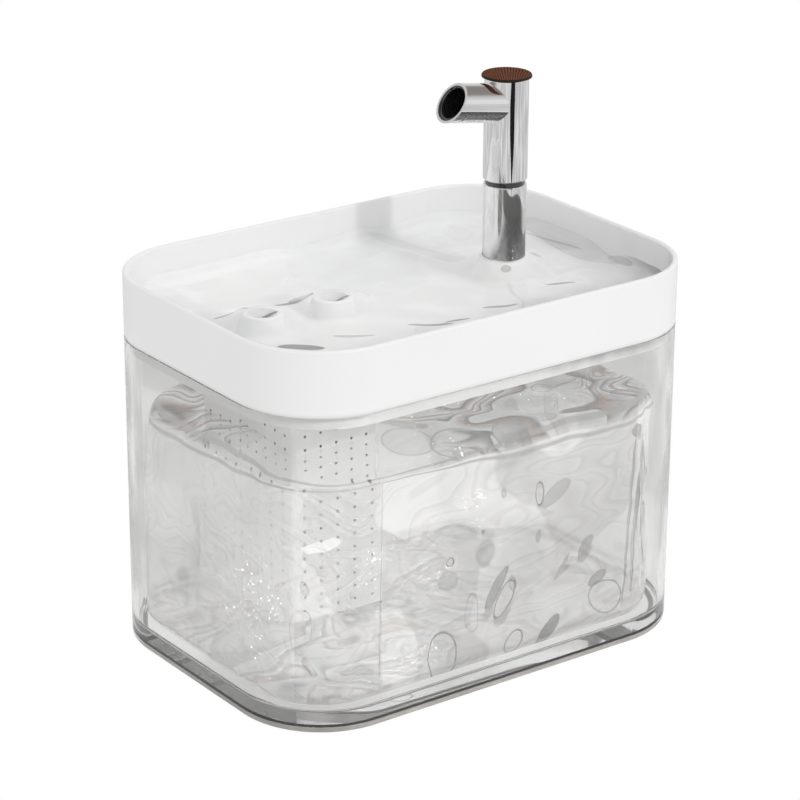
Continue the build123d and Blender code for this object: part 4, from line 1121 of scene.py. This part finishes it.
def box_plan():
    """Points round the box from above, with the numbers of those that start a cell."""
    half_x, half_y = BOX_SIZE[0] / 2, BOX_SIZE[1] / 2
    flat_x, flat_y = half_x - BOX_CORNER, half_y - BOX_CORNER
    sides = (((-flat_x, -half_y), (flat_x, -half_y), COLUMNS[0], -90),
             ((half_x, -flat_y), (half_x, flat_y), COLUMNS[1], 0),
             ((flat_x, half_y), (-flat_x, half_y), COLUMNS[0], 90),
             ((-half_x, flat_y), (-half_x, -flat_y), COLUMNS[1], 180))
    points, starts = [], []
    for start, end, cells, facing in sides:
        start, end = Vector(start), Vector(end)
        starts += [len(points) + cell * QUARTERS for cell in range(cells)]
        count = cells * QUARTERS
        points += [start.lerp(end, k / count) for k in range(count)] + [end]
        out = radians(facing)
        centre = end - Vector((cos(out), sin(out))) * BOX_CORNER
        for k in range(1, CORNER_STEPS):
            angle = radians(facing + 90 * k / CORNER_STEPS)
            points.append(centre + Vector((cos(angle), sin(angle))) * BOX_CORNER)
    return points, starts


def cell_edge(i, j):
    """Grid places round a holed cell, from its lower left corner."""
    steps = range(QUARTERS)
    return ([(i + k, j) for k in steps] + [(i + QUARTERS, j + k) for k in steps] +
            [(i + QUARTERS - k, j + QUARTERS) for k in steps] +
            [(i, j + QUARTERS - k) for k in steps])


def filter_skin():
    """The box's outer skin: bottom, holed walls and the hopper above them."""
    plan, starts = box_plan()
    count = len(plan)
    # Each level is a height, the box's middle there, and how far the plan is drawn out in x and y.
    wall_foot = FIRST_ROW - ROW_PITCH / 2
    levels = [(box_lo.z, BOX_X, *[1 - BOX_CHAMFER / (size / 2) for size in BOX_SIZE]),
              (box_lo.z + BOX_CHAMFER, BOX_X, 1, 1)]
    holes_from = len(levels)
    levels += [(wall_foot + ROW_PITCH * k / QUARTERS, BOX_X, 1, 1)
               for k in range(ROWS * QUARTERS + 1)]
    levels.append((HOPPER_START, BOX_X, 1, 1))
    hopper_middle = HOPPER_START + (HOPPER_END - HOPPER_START) / 2
    for z, share in ((hopper_middle, 0.5), (HOPPER_END, 1.0), (box_hi.z, 1.0)):
        levels.append((z, BOX_X + (HOPPER_X - BOX_X) * share,
                       1 + (HOPPER_WIDTH / BOX_SIZE[0] - 1) * share, 1))
    shape = bmesh.new()
    rows = [[shape.verts.new((middle + p.x * wide, p.y * deep, z)) for p in plan]
            for z, middle, wide, deep in levels]
    holed = set()
    sides = 4 * QUARTERS
    for j in range(holes_from, holes_from + ROWS * QUARTERS, QUARTERS):
        for i in starts:
            holed.update((i + a, j + b) for a in range(QUARTERS) for b in range(QUARTERS))
            outer = [rows[b][a % count] for a, b in cell_edge(i, j)]
            middle = (outer[0].co + outer[2 * QUARTERS].co) / 2
            across = (outer[QUARTERS].co - outer[0].co).normalized()
            circle = []
            for k in range(sides):
                angle = radians(-135 + 360 * k / sides)
                spoke = across * cos(angle) + Vector((0, 0, 1)) * sin(angle)
                circle.append(shape.verts.new(middle + spoke * HOLE_RADIUS))
            for k in range(sides):
                after = (k + 1) % sides
                shape.faces.new((outer[k], outer[after], circle[after], circle[k]))
    for j in range(len(rows) - 1):
        for i in range(count):
            if (i, j) not in holed:
                after = (i + 1) % count
                shape.faces.new((rows[j][i], rows[j][after], rows[j + 1][after], rows[j + 1][i]))
    shape.faces.new(list(reversed(rows[0])))
    loose = [v for v in shape.verts if not v.link_faces]
    bmesh.ops.delete(shape, geom=loose, context="VERTS")
    mesh = bpy.data.meshes.new("filter_box_skin")
    shape.to_mesh(mesh)
    shape.free()
    return mesh


filter_piece = put_in_scene("perforated_filter_box", filter_skin())
wall = filter_piece.modifiers.new("wall", "SOLIDIFY")
wall.thickness = BOX_WALL
wall.offset = -1.0
wall.use_even_offset = True
# The inner faces and the holes' walls take the dark inside finish, which is painted shade.
wall.material_offset = wall.material_offset_rim = 1
for name in ("filter_plastic", "filter_inside_painted_shade"):
    filter_piece.data.materials.append(looks[name])
apply_modifiers(filter_piece)
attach(filter_piece, "filter_body")
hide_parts("filter_box")
print("holes:", ROWS * 2 * sum(COLUMNS), "box faces:", len(filter_piece.data.polygons))

# %% [markdown]
# The brown cap has fine ribs that fan out across its top like those of a shell, so that wet fingers
# can grip it, and a bevel round them. The rim's side, the bevel and the grooves between the ribs are
# darker: painted shade. The ribs are real: the rings of the top face go up and down by the angle at
# which each point is seen from the middle of the fan. A bump map would be quicker, but it would
# leave the cap flat from the side.

# %% Ribbed faucet cap
cap_lo, cap_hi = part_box("faucet_cap")
CAP_POINTS = 360
CAP_RADIUS = (cap_hi.x - cap_lo.x) / 2
CAP_SEAT = 9.6 * MM
CAP_UNDERSIDE = 250.1 * MM
RIM_FOOT = 250.2 * MM
RIM_TOP = 250.85 * MM
CAP_BEVEL = 0.35 * MM
PLUG_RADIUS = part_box("cap_o_ring")[1].x - FAUCET[0] - 0.45 * MM
PLUG_BORE = PLUG_RADIUS - 1.6 * MM
PLUG_TOP = 249.9 * MM
TOP_RINGS = 26
TOP_RADII = (CAP_RADIUS - CAP_BEVEL - 0.1 * MM, 0.5 * MM)
RIB_HEIGHT = 0.15 * MM
RIB_PITCH = radians(1.5)
GROOVE_FROM = 0.6
FAN_MIDDLE = (FAUCET[0] - 26.6 * MM, FAUCET[1] - 36.3 * MM)


def valley_at(x, y):
    """0 on a rib and 1 in the middle of a groove."""
    angle = atan2(y - FAN_MIDDLE[1], x - FAN_MIDDLE[0])
    return 0.5 - 0.5 * cos(2 * pi * angle / RIB_PITCH)


def cap_ring(radius, z, ribbed=0.0):
    """Points round the cap; ribbed is how far the grooves go down."""
    ring = []
    for k in range(CAP_POINTS):
        angle = 2 * pi * k / CAP_POINTS
        x, y = FAUCET[0] + radius * cos(angle), FAUCET[1] + radius * sin(angle)
        ring.append(Vector((x, y, z - ribbed * valley_at(x, y))))
    return ring


cap_outline = [(PLUG_BORE, PLUG_TOP), (PLUG_BORE, cap_lo.z), (PLUG_RADIUS, cap_lo.z),
               (PLUG_RADIUS, CAP_UNDERSIDE), (CAP_SEAT, CAP_UNDERSIDE), (CAP_RADIUS, RIM_FOOT),
               (CAP_RADIUS, RIM_TOP), (CAP_RADIUS - CAP_BEVEL, cap_hi.z)]
dark_rows = range(cap_outline.index((CAP_RADIUS, RIM_FOOT)), len(cap_outline) - 1)
top_rows = range(len(cap_outline), len(cap_outline) + TOP_RINGS)
for k in range(TOP_RINGS + 1):
    radius = TOP_RADII[0] + (TOP_RADII[1] - TOP_RADII[0]) * k / TOP_RINGS
    cap_outline.append((radius, cap_hi.z, RIB_HEIGHT if 0 < k < TOP_RINGS else 0))
cap_looks = [looks[name] for name in ("brown_cap", "cap_bevel_painted_shade", "cap_grooves_painted_shade")]
cap_piece = skin_rings("ribbed_cap", [cap_ring(*step) for step in cap_outline],
                       Vector((*FAUCET, PLUG_TOP)), Vector((*FAUCET, cap_hi.z)), *cap_looks)
# The rim's side and the bevel, and the grooves, take the darker finishes of painted shade.
for face in cap_piece.data.polygons:
    face.use_smooth = False
    row = face.index // CAP_POINTS
    if row in dark_rows:
        face.material_index = 1
    elif row in top_rows and valley_at(*face.center[:2]) > GROOVE_FROM:
        face.material_index = 2
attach(cap_piece, "cap_body")
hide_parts("faucet_cap")
print("cap faces:", len(cap_piece.data.polygons))

# %% [markdown]
# What fills the filter and the pump's strainer is soft or loose, so none of it stays a sharp
# block. Each one starts as a fine grid on the six sides of its box. The cotton is crowned and a
# little lumpy, the foam is crumbled by small pores, and the carbon is a bed of rounded grains.

# %% Filter filling and pump foam
COTTON_STEP = 1.5 * MM
GRAIN_STEP = 0.8 * MM
COTTON_INSET, COTTON_LUMPS, COTTON_CROWN = 0.3 * MM, 0.8 * MM, 1.2 * MM
LUMP_WAVE = (1.0, 7 * MM, 4.4)
PORE_DEPTH = 0.35 * MM
COARSE_PORES, FINE_PORES = 900.0, 1700.0
GRAINS_PER_METRE = 400.0
GRAIN_DEPTH_RANGE = (0.1 * MM, 1.1 * MM)


def lumpy_block(name, lo, hi, step, push, look):
    """A closed block of fine quads whose points are moved by push(point, outward)."""
    size = hi - lo
    counts = [max(2, ceil(side / step)) for side in size]
    numbers, points, faces = {}, [], []

    def point_at(place):
        """Number of the point at a place in the grid."""
        if place not in numbers:
            numbers[place] = len(points)
            spot = [start + side * i / count
                    for start, side, i, count in zip(lo, size, place, counts)]
            out = Vector([(i == count) - (i == 0) for i, count in zip(place, counts)])
            points.append(push(Vector(spot), out.normalized()))
        return numbers[place]

    for axis in range(3):
        a, b = (axis + 1) % 3, (axis + 2) % 3
        for end in (0, counts[axis]):
            for u in range(counts[a]):
                for v in range(counts[b]):
                    square = []
                    for du, dv in ((0, 0), (1, 0), (1, 1), (0, 1)):
                        place = [0, 0, 0]
                        place[axis], place[a], place[b] = end, u + du, v + dv
                        square.append(point_at(tuple(place)))
                    faces.append(square if end else square[::-1])
    return new_piece(name, points, faces, look)


def cotton_push(spot, out):
    """Crowned and softly lumpy, a little inside its box."""
    lumps = 0.5 + 0.5 * swell(*spot, LUMP_WAVE)
    round_x = 1 - ((spot.x - pad_middle.x) / (pad_size.x / 2)) ** 4
    round_y = 1 - ((spot.y - pad_middle.y) / (pad_size.y / 2)) ** 4
    crown = (1 - min(round_x, round_y)) * (abs(out.z) > 0.5)
    return spot - out * (COTTON_INSET + COTTON_LUMPS * lumps + COTTON_CROWN * crown)


def foam_push(spot, out):
    """Crumbled by open pores."""
    pores = noise.noise(spot * COARSE_PORES) + 0.5 * noise.noise(spot * FINE_PORES)
    return spot - out * (PORE_DEPTH + PORE_DEPTH * pores)


def grain_push(spot, out):
    """Rounded grains, each about 2.5 mm."""
    near, _ = noise.voronoi(spot * GRAINS_PER_METRE)
    shallow, deep = GRAIN_DEPTH_RANGE
    return spot - out * (shallow + deep * min(1.0, near[0] ** 0.5))


pad_lo, pad_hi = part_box("filter_pad")
pad_size = pad_hi - pad_lo
pad_middle = (pad_lo + pad_hi) / 2
cotton_piece = lumpy_block("cotton_pad", pad_lo, pad_hi, COTTON_STEP, cotton_push,
                           looks["filter_cotton"])
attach(cotton_piece, "filter_body")
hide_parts("filter_pad")

carbon_piece = lumpy_block("carbon_grains", *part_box("carbon_bed"), GRAIN_STEP, grain_push,
                           looks["carbon_granules"])
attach(carbon_piece, "filter_body")
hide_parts("carbon_bed")

foam_piece = lumpy_block("foam_strainer", *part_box("pump_sponge"), GRAIN_STEP, foam_push,
                         looks["pump_foam"])
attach(foam_piece, "strainer_body")
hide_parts("pump_sponge")
filling = (cotton_piece, carbon_piece, foam_piece)
print("filling faces:", [len(piece.data.polygons) for piece in filling])
